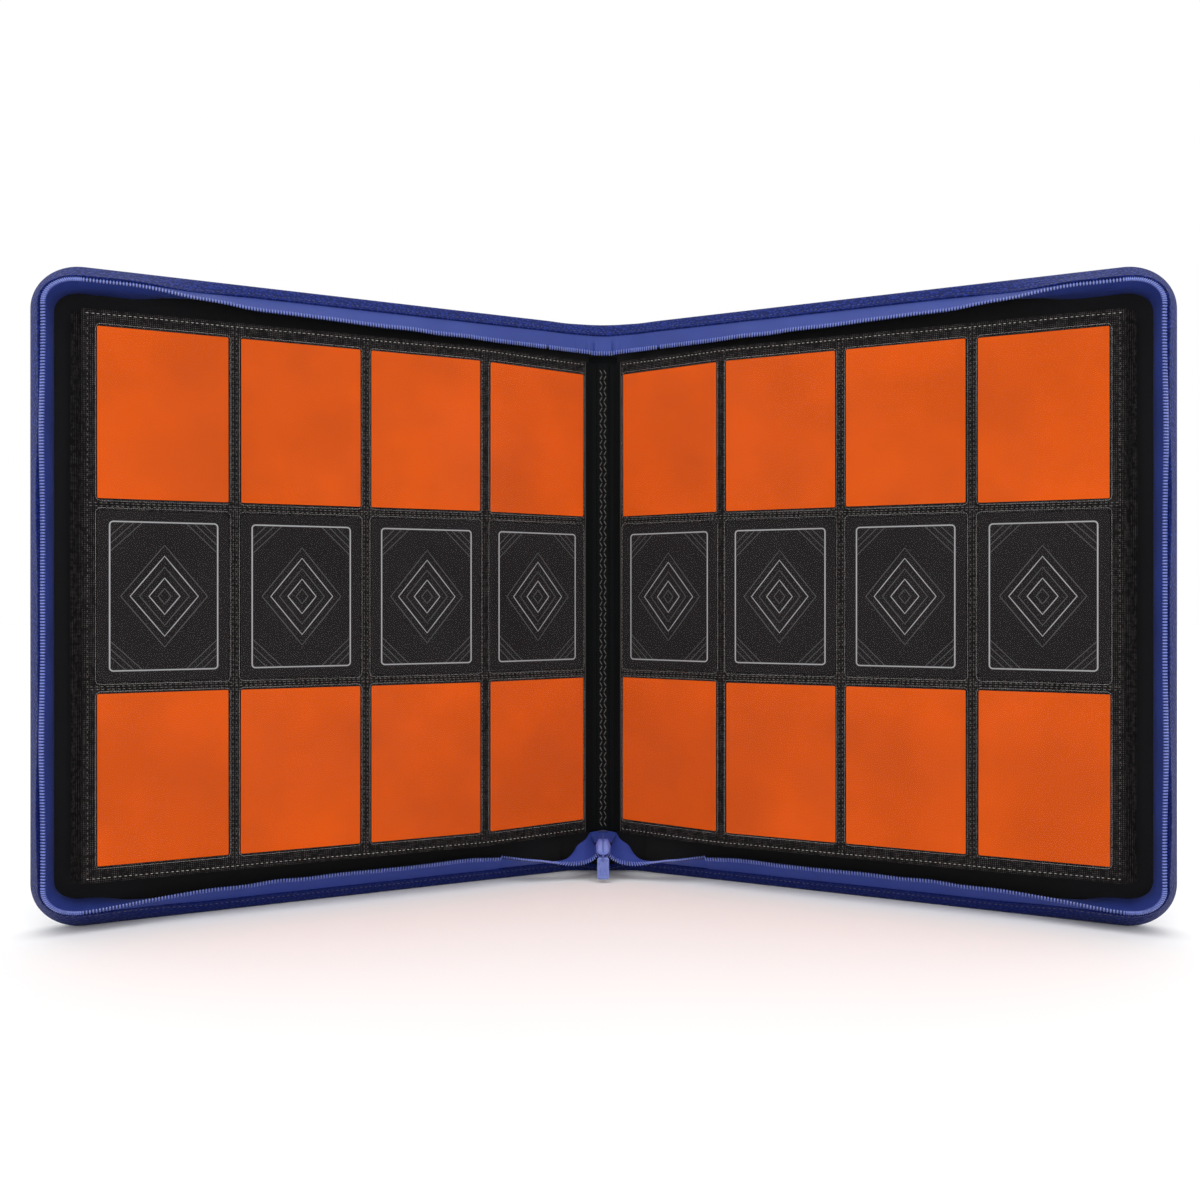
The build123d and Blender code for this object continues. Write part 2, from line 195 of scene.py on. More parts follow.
@dataclass(frozen=True)
class Layout:
    """Where the binder's main lines lie in the row frame."""

    hinge_across: float
    hinge_y: float
    height: float
    length: float
    rest_angle: float = 23.0
    corner: float = 25.0
    half_panel: float = 3.25

    @staticmethod
    def read(packed: dict) -> "Layout":
        """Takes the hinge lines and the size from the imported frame.


        Returns:
            The layout.
        """
        joint = next(j for j in packed["joints"] if j["name"] == "right_cover_hinge")
        low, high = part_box("spine_skin")
        return Layout(
            hinge_across=abs(joint["pos_m"][0]) / MM,
            hinge_y=joint["pos_m"][1] / MM,
            height=(high.z - low.z) / MM,
            length=297.0,
        )

    def row(self, side: Side, plan: np.ndarray, height: np.ndarray | float) -> np.ndarray:
        """Points of the row frame.

        Args:
            side: the half that they are on.
            plan: (..., 2) across from the middle and forward of the hinges.
            height: above the floor.

        Returns:
            (..., 3) points, in millimetres.
        """
        across, forward = plan[..., 0], plan[..., 1]
        tall = np.broadcast_to(height, across.shape)
        return np.stack([side.sign * across, self.hinge_y - forward, tall], -1)

    def cover_plan(self, along: np.ndarray, inward: np.ndarray) -> np.ndarray:
        """Plan points on a cover, from its hinge line and its middle plane."""
        run = heading(self.rest_angle)
        norm = np.array([-run[1], run[0]])
        start = np.array([self.hinge_across, 0.0])
        return start + np.asarray(along)[..., None] * run + np.asarray(inward)[..., None] * norm

    def cover(self, side: Side, along: np.ndarray, inward: np.ndarray, height: np.ndarray) -> np.ndarray:
        """Row frame points on a cover."""
        along, inward, height = np.broadcast_arrays(along, inward, height)
        return self.row(side, self.cover_plan(along, inward), height)

    def corner_rise(self, along: np.ndarray) -> np.ndarray:
        """How far the rounded corner lifts the cover's lower edge at a place along it."""
        over = np.clip(along - (self.length - self.corner), 0, self.corner)
        return self.corner - np.sqrt(np.maximum(self.corner**2 - over**2, 0))

    def inset(self, along: np.ndarray, height: np.ndarray, start: float) -> np.ndarray:
        """Distance inside the cover's rounded outline."""
        centre = self.length - self.corner
        rise = np.minimum(height, self.height - height)
        plain = np.minimum(np.minimum(self.length - along, rise), along - start)
        arc = self.corner - np.hypot(along - centre, self.corner - rise)
        return np.maximum(np.where((along > centre) & (rise < self.corner), arc, plain), 0)


def grid_faces(rows: int, columns: int, wrap: bool = False) -> np.ndarray:
    """Quads of a grid of points, row by row."""
    last = columns if wrap else columns - 1
    i, j = np.meshgrid(np.arange(rows - 1), np.arange(last), indexing="ij")
    a = i * columns + j
    b = i * columns + (j + 1) % columns
    return np.stack([a, b, b + columns, a + columns], -1).reshape(-1, 4)


def border(rows: int, columns: int) -> np.ndarray:
    """Indexes round the outside of a grid of points."""
    index = np.arange(rows * columns).reshape(rows, columns)
    return np.concatenate([index[0, :-1], index[:-1, -1], index[-1, :0:-1], index[:0:-1, 0]])


class Shape:
    """The points and faces of one piece while it is being made."""

    def __init__(self) -> None:
        """Starts empty."""
        self.points: list[np.ndarray] = []
        self.flat: list[np.ndarray] = []
        self.faces: list[list[int]] = []
        self.marks: list[int] = []
        self.count = 0

    def add(self, points: np.ndarray, faces: np.ndarray | list, flat: np.ndarray, mark: int = 0) -> None:
        """Adds points and the faces between them.

        Args:
            points: (n, 3) in millimetres.
            faces: indexes into those points.
            flat: (n, 2) places on the flat material, in millimetres.
            mark: which of the piece's finishes the faces take.
        """
        points = np.asarray(points, float).reshape(-1, 3)
        self.faces.extend([[int(v) + self.count for v in face] for face in faces])
        self.marks.extend([mark] * len(faces))
        self.points.append(points)
        self.flat.append(np.asarray(flat, float).reshape(-1, 2))
        self.count += len(points)

    def surface(self, grid: np.ndarray, flat: np.ndarray, mark: int = 0, wrap: bool = False) -> None:
        """Adds one open surface from a grid of points."""
        self.add(grid, grid_faces(*grid.shape[:2], wrap), flat, mark)

    def close(self, rings: int, count: int) -> None:
        """Closes both ends of the rings that were added last.

        Args:
            rings: how many there are.
            count: points in each.
        """
        first = self.count - rings * count
        self.faces.append([self.count - count + k for k in range(count)])
        self.faces.append([first + k for k in range(count)][::-1])
        self.marks.extend([0, 0])

    def slab(self, front: np.ndarray, back: np.ndarray, flat: np.ndarray, mark: int = 0,
             back_mark: int | None = None, rim_mark: int | None = None) -> None:
        """Adds a closed sheet between two matching grids of points.

        Args:
            front: (rows, columns, 3) one face.
            back: (rows, columns, 3) the other face.
            flat: (rows, columns, 2) places on the flat material.
            mark: finish of the front.
            back_mark: finish of the back, if not the front's.
            rim_mark: finish of the rim, if not the front's.
        """
        rows, columns = front.shape[:2]
        size = rows * columns
        quads = grid_faces(rows, columns)
        loop = border(rows, columns)
        after = np.roll(loop, -1)
        rim = np.stack([after, loop, loop + size, after + size], -1)
        places = np.concatenate([flat.reshape(-1, 2), flat.reshape(-1, 2)])
        start = self.count
        self.add(np.concatenate([front.reshape(-1, 3), back.reshape(-1, 3)]), quads, places, mark)
        for faces, chosen in ((quads[:, ::-1] + size, back_mark), (rim, rim_mark)):
            self.faces.extend((faces + start).tolist())
            self.marks.extend([mark if chosen is None else chosen] * len(faces))

    def tube(self, path: np.ndarray, radius: float | np.ndarray, sides: int = 8, mark: int = 0) -> None:
        """Adds a round cord along a path, with closed ends.

        Args:
            path: (n, 3) the middle of the cord.
            radius: one radius, or one for each place.
            sides: how many sides it has.
            mark: the finish.
        """
        run = np.gradient(path, axis=0)
        run /= np.maximum(np.linalg.norm(run, axis=1, keepdims=True), 1e-9)
        helper = np.where(np.abs(run[:, 2:3]) > 0.9, [[0.0, 1.0, 0.0]], [[0.0, 0.0, 1.0]])
        first = np.cross(run, helper)
        first /= np.linalg.norm(first, axis=1, keepdims=True)
        second = np.cross(run, first)
        turn = np.linspace(0, 2 * math.pi, sides, endpoint=False)
        wide = np.broadcast_to(np.asarray(radius, float), (len(path),))[:, None, None]
        ring = np.cos(turn)[None, :, None] * first[:, None] + np.sin(turn)[None, :, None] * second[:, None]
        length = lengths(path)
        flat = np.stack(np.broadcast_arrays(length[:, None], turn[None] * np.mean(wide)), -1)
        caps = [list(range(sides))[::-1], [(len(path) - 1) * sides + k for k in range(sides)]]
        faces = grid_faces(len(path), sides, wrap=True).tolist() + caps
        self.add(path[:, None] + ring * wide, faces, flat, mark)

    def scatter(self, form: np.ndarray, faces: list, places: np.ndarray, axes: np.ndarray,
                mark: int = 0) -> None:
        """Adds many copies of one small form.

        Args:
            form: (k, 3) its points.
            faces: its faces.
            places: (n, 3) where each copy goes.
            axes: (n, 3, 3) each copy's three directions.
            mark: which finish they take.
        """
        points = places[:, None] + np.einsum("kj,njd->nkd", form, axes)
        step = len(form)
        many = [[v + step * k for v in face] for k in range(len(places)) for face in faces]
        flat = np.broadcast_to(form[None, :, :2], (len(places), step, 2))
        self.add(points, many, flat, mark)

    def build(self, name: str, finishes: list["Finish"], sharp: float = 40.0,
              mend: bool = True) -> bpy.types.Object:
        """Makes the piece.

        Args:
            name: its name.
            finishes: the finish for each mark.
            sharp: edges that turn more than this many degrees stay crisp.
            mend: turn all faces outward.

        Returns:
            The new object, in the row frame.
        """
        mesh = bpy.data.meshes.new(name)
        mesh.from_pydata((np.concatenate(self.points) * MM).tolist(), [], self.faces)
        mesh.polygons.foreach_set("material_index", np.array(self.marks, np.int32))
        layer = mesh.uv_layers.new(name="flat")
        corners = np.zeros(len(mesh.loops), np.int32)
        mesh.loops.foreach_get("vertex_index", corners)
        layer.data.foreach_set("uv", (np.concatenate(self.flat) * MM)[corners].astype(np.float32).ravel())
        if mend:
            work = bmesh.new()
            work.from_mesh(mesh)
            bmesh.ops.recalc_face_normals(work, faces=work.faces)
            work.to_mesh(mesh)
            work.free()
        mesh.polygons.foreach_set("use_smooth", np.ones(len(mesh.polygons), bool))
        mesh.set_sharp_from_angle(angle=math.radians(sharp))
        for finish in finishes:
            mesh.materials.append(finish.material())
        piece = bpy.data.objects.new(name, mesh)
        bpy.context.scene.collection.objects.link(piece)
        LOG.info("%s: %d faces", name, len(mesh.polygons))
        return piece


Socket = bpy.types.NodeSocket
Number = float | Socket


class Board:
    """Wires the nodes of one material."""

    def __init__(self, name: str) -> None:
        """Starts a material with a plain shader."""
        self.made = bpy.data.materials.new(name)
        self.made.use_nodes = True
        self.tree = self.made.node_tree
        self.shader = self.tree.nodes["Principled BSDF"]

    def put(self, kind: str, inputs: dict[str | int, object] | None = None,
            **settings: object) -> bpy.types.Node:
        """Adds a node.

        Args:
            kind: the node's Blender type.
            inputs: values or sockets for its inputs.
            **settings: its own settings.

        Returns:
            The node.
        """
        node = self.tree.nodes.new(kind)
        for key, value in settings.items():
            setattr(node, key, value)
        for key, value in (inputs or {}).items():
            self.feed(node.inputs[key], value)
        return node

    def feed(self, target: Socket, value: object) -> None:
        """Links a socket to an input, or sets the input."""
        if isinstance(value, bpy.types.NodeSocket):
            self.tree.links.new(value, target)
        else:
            target.default_value = value

    def space(self) -> Socket:
        """Places in the row frame, in metres."""
        return self.put("ShaderNodeTexCoord").outputs["Object"]

    def cloth(self) -> tuple[Socket, Socket]:
        """Places along and across the flat material, in metres."""
        where = self.put("ShaderNodeUVMap", uv_map="flat").outputs[0]
        split = self.put("ShaderNodeSeparateXYZ", {0: where})
        return split.outputs[0], split.outputs[1]

    def maths(self, operation: str, first: Number, second: Number = 0.0) -> Socket:
        """One sum on two numbers."""
        return self.put("ShaderNodeMath", {0: first, 1: second}, operation=operation).outputs[0]

    def noise(self, where: Socket, scale: float, detail: float = 3.0, rough: float = 0.5) -> Socket:
        """Cloudy noise from 0 to 1."""
        inputs = {"Vector": where, "Scale": scale, "Detail": detail, "Roughness": rough}
        return self.put("ShaderNodeTexNoise", inputs).outputs["Fac"]

    def cells(self, where: Socket, scale: float, feature: str = "F1") -> Socket:
        """Distance inside small cells."""
        node = self.put("ShaderNodeTexVoronoi", {"Vector": where, "Scale": scale}, feature=feature)
        return node.outputs["Distance"]

    def ramp(self, value: Number, low: float, high: float, start: float = 0.0, end: float = 1.0) -> Socket:
        """Moves a number from one range to another, held inside it."""
        inputs = {"Value": value, "From Min": low, "From Max": high, "To Min": start, "To Max": end}
        return self.put("ShaderNodeMapRange", inputs).outputs[0]

    def wave(self, value: Number, pitch: float) -> Socket:
        """A sine of the given pitch in metres."""
        return self.maths("SINE", self.maths("MULTIPLY", value, 2 * math.pi / pitch))

    def blend(self, share: Number, first: object, second: object) -> Socket:
        """A colour between two colours."""
        node = self.put("ShaderNodeMix", data_type="RGBA")
        self.feed(node.inputs["Factor"], share)
        self.feed(node.inputs[6], first)
        self.feed(node.inputs[7], second)
        return node.outputs[2]

    def dress(self, **inputs: object) -> None:
        """Sets or links the shader's own inputs; _ in a name stands for a space."""
        for key, value in inputs.items():
            self.feed(self.shader.inputs[key.replace("_", " ")], value)

    def bump(self, height: Socket, depth: float, strength: float = 1.0) -> None:
        """Raises the surface by a pattern, depth in metres."""
        inputs = {"Height": height, "Distance": depth, "Strength": strength}
        self.feed(self.shader.inputs["Normal"], self.put("ShaderNodeBump", inputs).outputs[0])


def paint(red: float, green: float, blue: float, gain: float = 1.0) -> tuple[float, float, float, float]:
    """Linear colour from screen values of 0 to 255."""
    share = np.array([red, green, blue]) / 255.0
    linear = np.where(share <= 0.04045, share / 12.92, ((share + 0.055) / 1.055) ** 2.4)
    return (*[float(min(x * gain, 1.0)) for x in linear], 1.0)


@dataclass(frozen=True)
class Finish:
    """A named finish with one base colour."""

    name: str
    slot: str
    colour: tuple[int, int, int]
    roughness: float = 0.5

    def tone(self, gain: float = 1.0) -> tuple[float, float, float, float]:
        """The base colour, made darker or paler."""
        return paint(*self.colour, gain=gain)

    def material(self) -> bpy.types.Material:
        """The finish's material, made once."""
        found = bpy.data.materials.get(self.name)
        if found is not None:
            return found
        board = Board(self.name)
        self.wire(board)
        return board.made

    def wire(self, board: Board) -> None:
        """Adds soft patches of colour and roughness, as on any made surface."""
        patches = board.noise(board.space(), 45.0, 4.0)
        dark = self.tone(0.86)
        board.dress(Base_Color=board.blend(patches, dark, self.tone(1.1)))
        board.dress(Roughness=board.ramp(patches, 0.3, 0.7, self.roughness - 0.06, self.roughness + 0.06))
        board.bump(board.noise(board.space(), 900.0, 2.0), 0.00006)


@dataclass(frozen=True)
class Grained(Finish):
    """Coated cloth with a small raised weave, as on the outside of the covers."""

    grain: float = 0.0016

    def wire(self, board: Board) -> None:
        """Rows of small pebbles on a slant, darker between them and worn paler on top."""
        where = board.space()
        slant = board.put("ShaderNodeMapping", {"Vector": where, "Rotation": (0.5, 0.72, 0.35)}).outputs[0]
        pebbles = board.cells(slant, 1.0 / self.grain)
        tops = board.ramp(pebbles, 0.05, 0.62, 1.0, 0.0)
        patches = board.noise(where, 28.0, 4.0)
        deep = self.tone(0.42)
        plain = self.tone(1.0)
        pale = self.tone(1.6)
        body = board.blend(board.ramp(tops, 0.0, 0.75), deep, plain)
        worn = board.maths("MULTIPLY", board.ramp(tops, 0.7, 1.0), board.ramp(patches, 0.45, 0.75))
        height = board.put("ShaderNodeSeparateXYZ", {"Vector": where}).outputs[2]
        woven = board.blend(worn, body, pale)
        # Painted shade: the cloth is blended towards a deep blue towards the bottom of the binder.
        shade = board.ramp(height, 0.02, 0.3, 0.7, 0.0)
        board.dress(Base_Color=board.blend(shade, woven, paint(5, 20, 82)))
        board.dress(Roughness=board.ramp(tops, 0.0, 1.0, self.roughness + 0.16, self.roughness - 0.04))
        board.dress(Specular_IOR_Level=0.16, Sheen_Weight=0.02, Sheen_Roughness=0.4)
        fine = board.maths("MULTIPLY", board.noise(where, 2600.0, 2.0), 0.18)
        board.bump(board.maths("ADD", tops, fine), self.grain * 0.3)


@dataclass(frozen=True)
class Satin(Finish):
    """Close twill with a soft shine, as on zip tape and lining cloth."""

    pitch: float = 0.0011
    sheen: float = 0.35
    gloss: float = 0.25

    def wire(self, board: Board) -> None:
        """Fine slanted ribs, softly brighter and darker in long patches."""
        along, across = board.cloth()
        ribs = board.wave(board.maths("ADD", along, across), self.pitch)
        cords = board.wave(across, self.pitch * 0.72)
        weave = board.maths("ADD", board.maths("MULTIPLY", ribs, 0.6), board.maths("MULTIPLY", cords, 0.4))
        patches = board.noise(board.space(), 60.0, 3.0)
        half = board.ramp(weave, -1.0, 1.0, 0.0, 0.5)
        mixed = board.maths("ADD", half, board.maths("MULTIPLY", patches, 0.5))
        dark, pale = self.tone(0.74), self.tone(1.22)
        board.dress(Base_Color=board.blend(mixed, dark, pale))
        board.dress(Roughness=board.ramp(mixed, 0.1, 0.9, self.roughness + 0.08, self.roughness - 0.08))
        board.dress(Sheen_Weight=self.sheen, Sheen_Roughness=0.35, Specular_IOR_Level=self.gloss)
        board.bump(weave, self.pitch * 0.09)


@dataclass(frozen=True)
class Basket(Finish):
    """Coarse black basket weave behind the pockets."""

    pitch: float = 0.0020

    def wire(self, board: Board) -> None:
        """Square tufts in rows, paler on their crowns, with a painted highlight on some crowns."""
        along, across = board.cloth()
        tufts = board.maths("MULTIPLY", board.wave(along, self.pitch), board.wave(across, self.pitch))
        crowns = board.ramp(board.maths("ABSOLUTE", tufts), 0.0, 0.9)
        patches = board.noise(board.space(), 420.0, 3.0)
        # Painted highlight: very pale patches on some tuft crowns stand in for light caught there.
        crown_highlights = board.maths("MULTIPLY", board.ramp(crowns, 0.6, 1.0), board.ramp(patches, 0.4, 0.62))
        body = board.blend(crowns, self.tone(0.35), self.tone(1.0))
        board.dress(Base_Color=board.blend(crown_highlights, body, self.tone(12.0)))
        board.dress(Roughness=board.ramp(crowns, 0.0, 1.0, self.roughness + 0.2, self.roughness - 0.1))
        board.dress(Specular_IOR_Level=0.09, Coat_Weight=0.015, Coat_Roughness=0.3)
        board.bump(crowns, self.pitch * 0.22)


@dataclass(frozen=True)
class Printed(Finish):
    """Printed card stock seen through clear plastic."""

    shine: float = 0.03

    def wire(self, board: Board) -> None:
        """Faint clouds in the ink and long soft ripples in the gloss."""
        along, across = board.cloth()
        clouds = board.noise(board.space(), 16.0, 3.0, 0.55)
        ink = board.blend(board.ramp(clouds, 0.35, 0.68), self.tone(0.9), self.tone(1.12))
        specks = board.ramp(board.noise(board.space(), 2400.0, 1.0), 0.66, 0.8)
        board.dress(Base_Color=board.blend(board.maths("MULTIPLY", specks, 0.1), ink, paint(255, 240, 225)))
        board.dress(Roughness=board.ramp(clouds, 0.3, 0.7, self.roughness, self.roughness + 0.12))
        board.dress(Coat_Weight=self.shine, Coat_Roughness=0.16, Specular_IOR_Level=0.05)
        ripples = board.maths("ADD", board.wave(along, 0.034), board.maths("MULTIPLY", clouds, 2.0))
        board.bump(ripples, 0.0001)


@dataclass(frozen=True)
class Film(Finish):
    """Clear pocket film."""

    cover: float = 0.1

    def wire(self, board: Board) -> None:
        """Nearly clear, a little cloudier in patches, with shallow dents."""
        dents = board.noise(board.space(), 26.0, 1.0)
        board.dress(Base_Color=self.tone(), Roughness=board.ramp(dents, 0.3, 0.7, 0.06, self.roughness))
        board.dress(Alpha=board.ramp(dents, 0.3, 0.75, self.cover * 0.7, self.cover * 1.3))
        board.dress(Specular_IOR_Level=0.6)
        board.bump(dents, 0.0003)


@dataclass(frozen=True)
class Moulded(Finish):
    """Shiny nylon or painted metal."""

    metal: float = 0.0
    coat: float = 0.3

    def wire(self, board: Board) -> None:
        """Even colour with fine orange peel, handling scratches and duller hollows."""
        where = board.space()
        peel = board.noise(where, 1500.0, 2.0)
        rubs = board.noise(where, 240.0, 4.0)
        board.dress(Base_Color=board.blend(rubs, self.tone(0.85), self.tone(1.15)))
        board.dress(Roughness=board.ramp(rubs, 0.3, 0.7, self.roughness - 0.08, self.roughness + 0.1))
        board.dress(Metallic=self.metal, Coat_Weight=self.coat, Coat_Roughness=0.12)
        board.bump(board.maths("ADD", peel, rubs), 0.00005)


@dataclass(frozen=True)
class Spun(Finish):
    """Sewing thread or cord laid in a twist."""

    pitch: float = 0.0006

    def wire(self, board: Board) -> None:
        """Slanted strands, paler on their crowns."""
        along, across = board.cloth()
        strands = board.wave(board.maths("ADD", along, across), self.pitch)
        share = board.ramp(strands, -1.0, 1.0)
        board.dress(Base_Color=board.blend(share, self.tone(0.55), self.tone(1.15)))
        board.dress(Roughness=board.ramp(share, 0.0, 1.0, self.roughness + 0.15, self.roughness))
        board.bump(strands, self.pitch * 0.12)


LEATHERETTE = Grained("blue_grained_cloth", "blue_leatherette", (23, 45, 130), 0.5)
TAPE = Satin("blue_satin_tape", "blue_zip_tape", (54, 71, 146), 0.4, sheen=0.08)
# Painted shade: the zip tape again in a darker blue, for the parts of the tape that get little light.
TAPE_PAINTED_SHADE = Satin("blue_tape_inside", "blue_zip_tape", (42, 60, 140), 0.5, sheen=0.05)
TEETH = Moulded("blue_nylon_teeth", "blue_zip_teeth", (106, 122, 198), 0.28, coat=0.4)
TOOTH_GAPS = Finish("dark_blue_tooth_gaps", "blue_zip_teeth", (24, 32, 84), 0.6)
ENAMEL = Moulded("blue_enamelled_metal", "blue_enamel", (84, 100, 178), 0.34, metal=0.2, coat=0.6)
PULL = Moulded("blue_enamelled_pull", "blue_pull", (102, 120, 192), 0.3, metal=0.2, coat=0.7)
LINING = Satin("black_lining_cloth", "black_lining", (24, 24, 26), 0.5, pitch=0.0009, sheen=0.02,
               gloss=0.12)
BINDING = Satin("black_binding_cloth", "black_binding", (8, 10, 11), 0.34, pitch=0.0013, sheen=0.0,
                gloss=0.05)
PIPING = Spun("brown_black_piping", "black_binding", (44, 37, 33), 0.5, pitch=0.0012)
BACKING = Basket("black_basket_weave", "black_leaf", (22, 20, 20), 0.5)
EMPTY_LEAF = Basket("black_leaf_cloth", "black_leaf", (22, 20, 20), 0.5, pitch=0.0014)
ORANGE = Printed("orange_card_print", "orange_card", (212, 82, 3), 0.42)
DARK = Printed("black_card_print", "black_card", (27, 24, 25), 0.4)
INK = Finish("grey_card_ink", "black_card", (158, 158, 160), 0.4)
FAINT_INK = Finish("faint_card_ink", "black_card", (62, 61, 63), 0.45)
PAPER = Finish("cut_card_edge", "orange_card", (236, 140, 90), 0.7)
DARK_EDGE = Finish("cut_dark_card_edge", "black_card", (60, 58, 58), 0.7)
FILM = Film("clear_pocket_film", "clear_film", (52, 52, 54), 0.14, cover=0.06)
WELD = Film("pocket_film_weld", "clear_film", (150, 148, 146), 0.3, cover=0.4)
THREAD = Spun("grey_sewing_thread", "grey_thread", (186, 184, 178), 0.6, pitch=0.0005)
FAINT_THREAD = Spun("dark_sewing_thread", "grey_thread", (112, 109, 106), 0.6, pitch=0.0005)
BOARD_FILL = Finish("grey_board_fill", "grey_board", (120, 118, 112), 0.85)


NEAR = np.array([0.0, 0.15, 0.45, 0.95, 1.7, 2.7, 4.2, 6.5, 9.5])
TOOTH_SIDES = 8
WALL_STEPS = 80
LAST_WALL_STEP = 79.999
# metres; the zip tape's faces below this height take the painted-shade blue
SHADED_BELOW = 0.17
CRISP = 60.0
TOOTH_RINGS = [(-1.35, 0.3), (-1.05, 0.52), (0.95, 0.52), (1.35, 0.34)]


@dataclass
class Cover:
    """One padded cover: the grained outside, and the lining inside it."""

    layout: Layout
    side: Side
    start: float = 3.65
    roll: float = 3.2
    puff: float = 1.3
    lining_rise: float = 0.3

    @property
    def body(self) -> str:
        """The CAD body that the cover rides on."""
        return f"{self.side.value}_cover"

    def sheet_places(self, inset: float) -> tuple[np.ndarray, np.ndarray]:
        """A grid over the cover, closer near its edges.

        Args:
            inset: how far inside the cover's outline it stops.

        Returns:
            Places along the cover and heights, each (rows, columns).
        """
        length, height = self.layout.length - inset, self.layout.height
        corner = length - self.layout.corner
        along = np.concatenate([
            self.start + NEAR,
            np.arange(self.start + 15, corner, 5.5),
            np.arange(corner, length - 10.0, 1.6),
            length - NEAR[::-1],
        ])
        rise = self.layout.corner_rise(along + inset) + inset
        middle = np.linspace(0, 1, 52)[1:-1]
        rows = []
        for low in rise:
            inner = low + NEAR[-1] + (height - 2 * low - 2 * NEAR[-1]) * middle
            rows.append(np.concatenate([low + NEAR, inner, height - low - NEAR[::-1]]))
        tall = np.array(rows)
        return np.broadcast_to(along[:, None], tall.shape), tall

    def pad(self) -> bpy.types.Object:
        """The padded outside, crowned and rolled over at its edges."""
        layout = self.layout
        along, tall = self.sheet_places(0.0)
        inside = layout.inset(along, tall, self.start)
        over = np.clip(inside / self.roll, 0, 1)
        edge = 2.4 - (layout.half_panel + 2.4) * np.sqrt(np.maximum(1 - (1 - over) ** 2, 0))
        crown = self.puff * (1 - np.exp(-((inside / 22.0) ** 2)))
        waves = 0.16 * np.sin(along / 17.0 + 1.3 * np.sin(tall / 31.0)) * np.cos(tall / 23.0)
        seam = 0.5 * np.exp(-(((inside - 8.0) / 0.7) ** 2))
        depth = edge - crown - waves * over + seam
        front = layout.cover(self.side, along, depth, tall)
        back = layout.cover(self.side, along, np.full_like(along, 2.2), tall)
        shape = Shape()
        shape.slab(front, back, np.stack([along, tall], -1))
        piece = shape.build(f"{self.side.value}_cover_pad", [LEATHERETTE], CRISP)
        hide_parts(f"{self.side.value}_cover_skin", f"{self.side.value}_cover_padding")
        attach(piece, self.body)
        return piece

    def lining(self) -> bpy.types.Object:
        """The black cloth inside, drawn over the board with a few shallow creases."""
        layout = self.layout
        along, tall = self.sheet_places(1.1)
        inside = layout.inset(along, tall, self.start)
        fore = np.exp(-((layout.length - along) / 26.0))
        creases = 0.22 * np.sin(tall / 9.0 + np.sin(along / 12.0)) * fore + 0.1 * np.sin(along / 21.0)
        lift = layout.half_panel + self.lining_rise * smooth((inside - 1.0) / 9.0)
        rise = lift + creases * smooth((inside - 2) / 8)
        front = layout.cover(self.side, along, rise, tall)
        back = layout.cover(self.side, along, np.full_like(along, 2.5), tall)
        shape = Shape()
        shape.slab(front, back, np.stack([along, tall], -1))
        piece = shape.build(f"{self.side.value}_cover_lining_cloth", [LINING])
        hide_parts(f"{self.side.value}_cover_lining")
        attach(piece, self.body)
        return piece

    def make(self) -> None:
        """Makes the cover."""
        self.pad()
        self.lining()


@dataclass
class Section:
    """Cross sections of a rim wall, one for each place along it."""

    origin: np.ndarray
    inward: np.ndarray
    outward: np.ndarray
    strip: np.ndarray
    tape: np.ndarray
    strip_lean: np.ndarray
    tape_lean: np.ndarray
    ruffle: np.ndarray

    def single(self, index: int) -> "Section":
        """The cross section at one place alone."""
        return Section(*[getattr(self, each.name)[index:index + 1] for each in fields(self)])

    def lean(self, share: np.ndarray) -> np.ndarray:
        """How far the wall leans inward.

        Args:
            share: 0 at the cover to 1 at the teeth, for the strip then the tape.

        Returns:
            The lean in radians, (places, samples).
        """
        part = self.strip / (self.strip + self.tape)
        turn = smooth((share[None] - part[:, None] + 0.06) / 0.22)
        base = self.strip_lean[:, None] * smooth(share[None] / 0.12)
        return np.radians(base + (self.tape_lean[:, None] - base) * turn)

    def line(self, share: np.ndarray, off: float) -> np.ndarray:
        """Points of the wall.

        Args:
            share: (samples,) from 0 at the cover to 1 at the teeth.
            off: distance outside the wall's middle.

        Returns:
            (places, samples, 3) points of the row frame, in millimetres.
        """
        lean = self.lean(np.linspace(0, 1, WALL_STEPS + 1))
        total = (self.strip + self.tape)[:, None]
        step = total / WALL_STEPS
        sums = []
        for part in (np.sin, np.cos):
            halves = (part(lean[:, 1:]) + part(lean[:, :-1])) / 2
            sums.append(np.concatenate([np.zeros_like(total), np.cumsum(halves * step, 1)], 1))
        into, rise = sums
        pick = np.clip(share * WALL_STEPS, 0, LAST_WALL_STEP)
        low = pick.astype(int)
        mix = pick - low
        over = lean[:, low] * (1 - mix) + lean[:, low + 1] * mix
        into = into[:, low] * (1 - mix) + into[:, low + 1] * mix
        rise = rise[:, low] * (1 - mix) + rise[:, low + 1] * mix
        over_end = np.clip(share - 1, 0, None)[None] * total
        into = into + np.sin(over) * over_end
        rise = rise + np.cos(over) * over_end
        away = off + self.ruffle.reshape(-1, 1) * smooth((share[None] - 0.35) / 0.5)
        into = into - np.cos(over) * away
        rise = rise + np.sin(over) * away
        return (self.origin[:, None] - self.outward[:, None] * into[..., None]
                + self.inward[:, None] * rise[..., None])


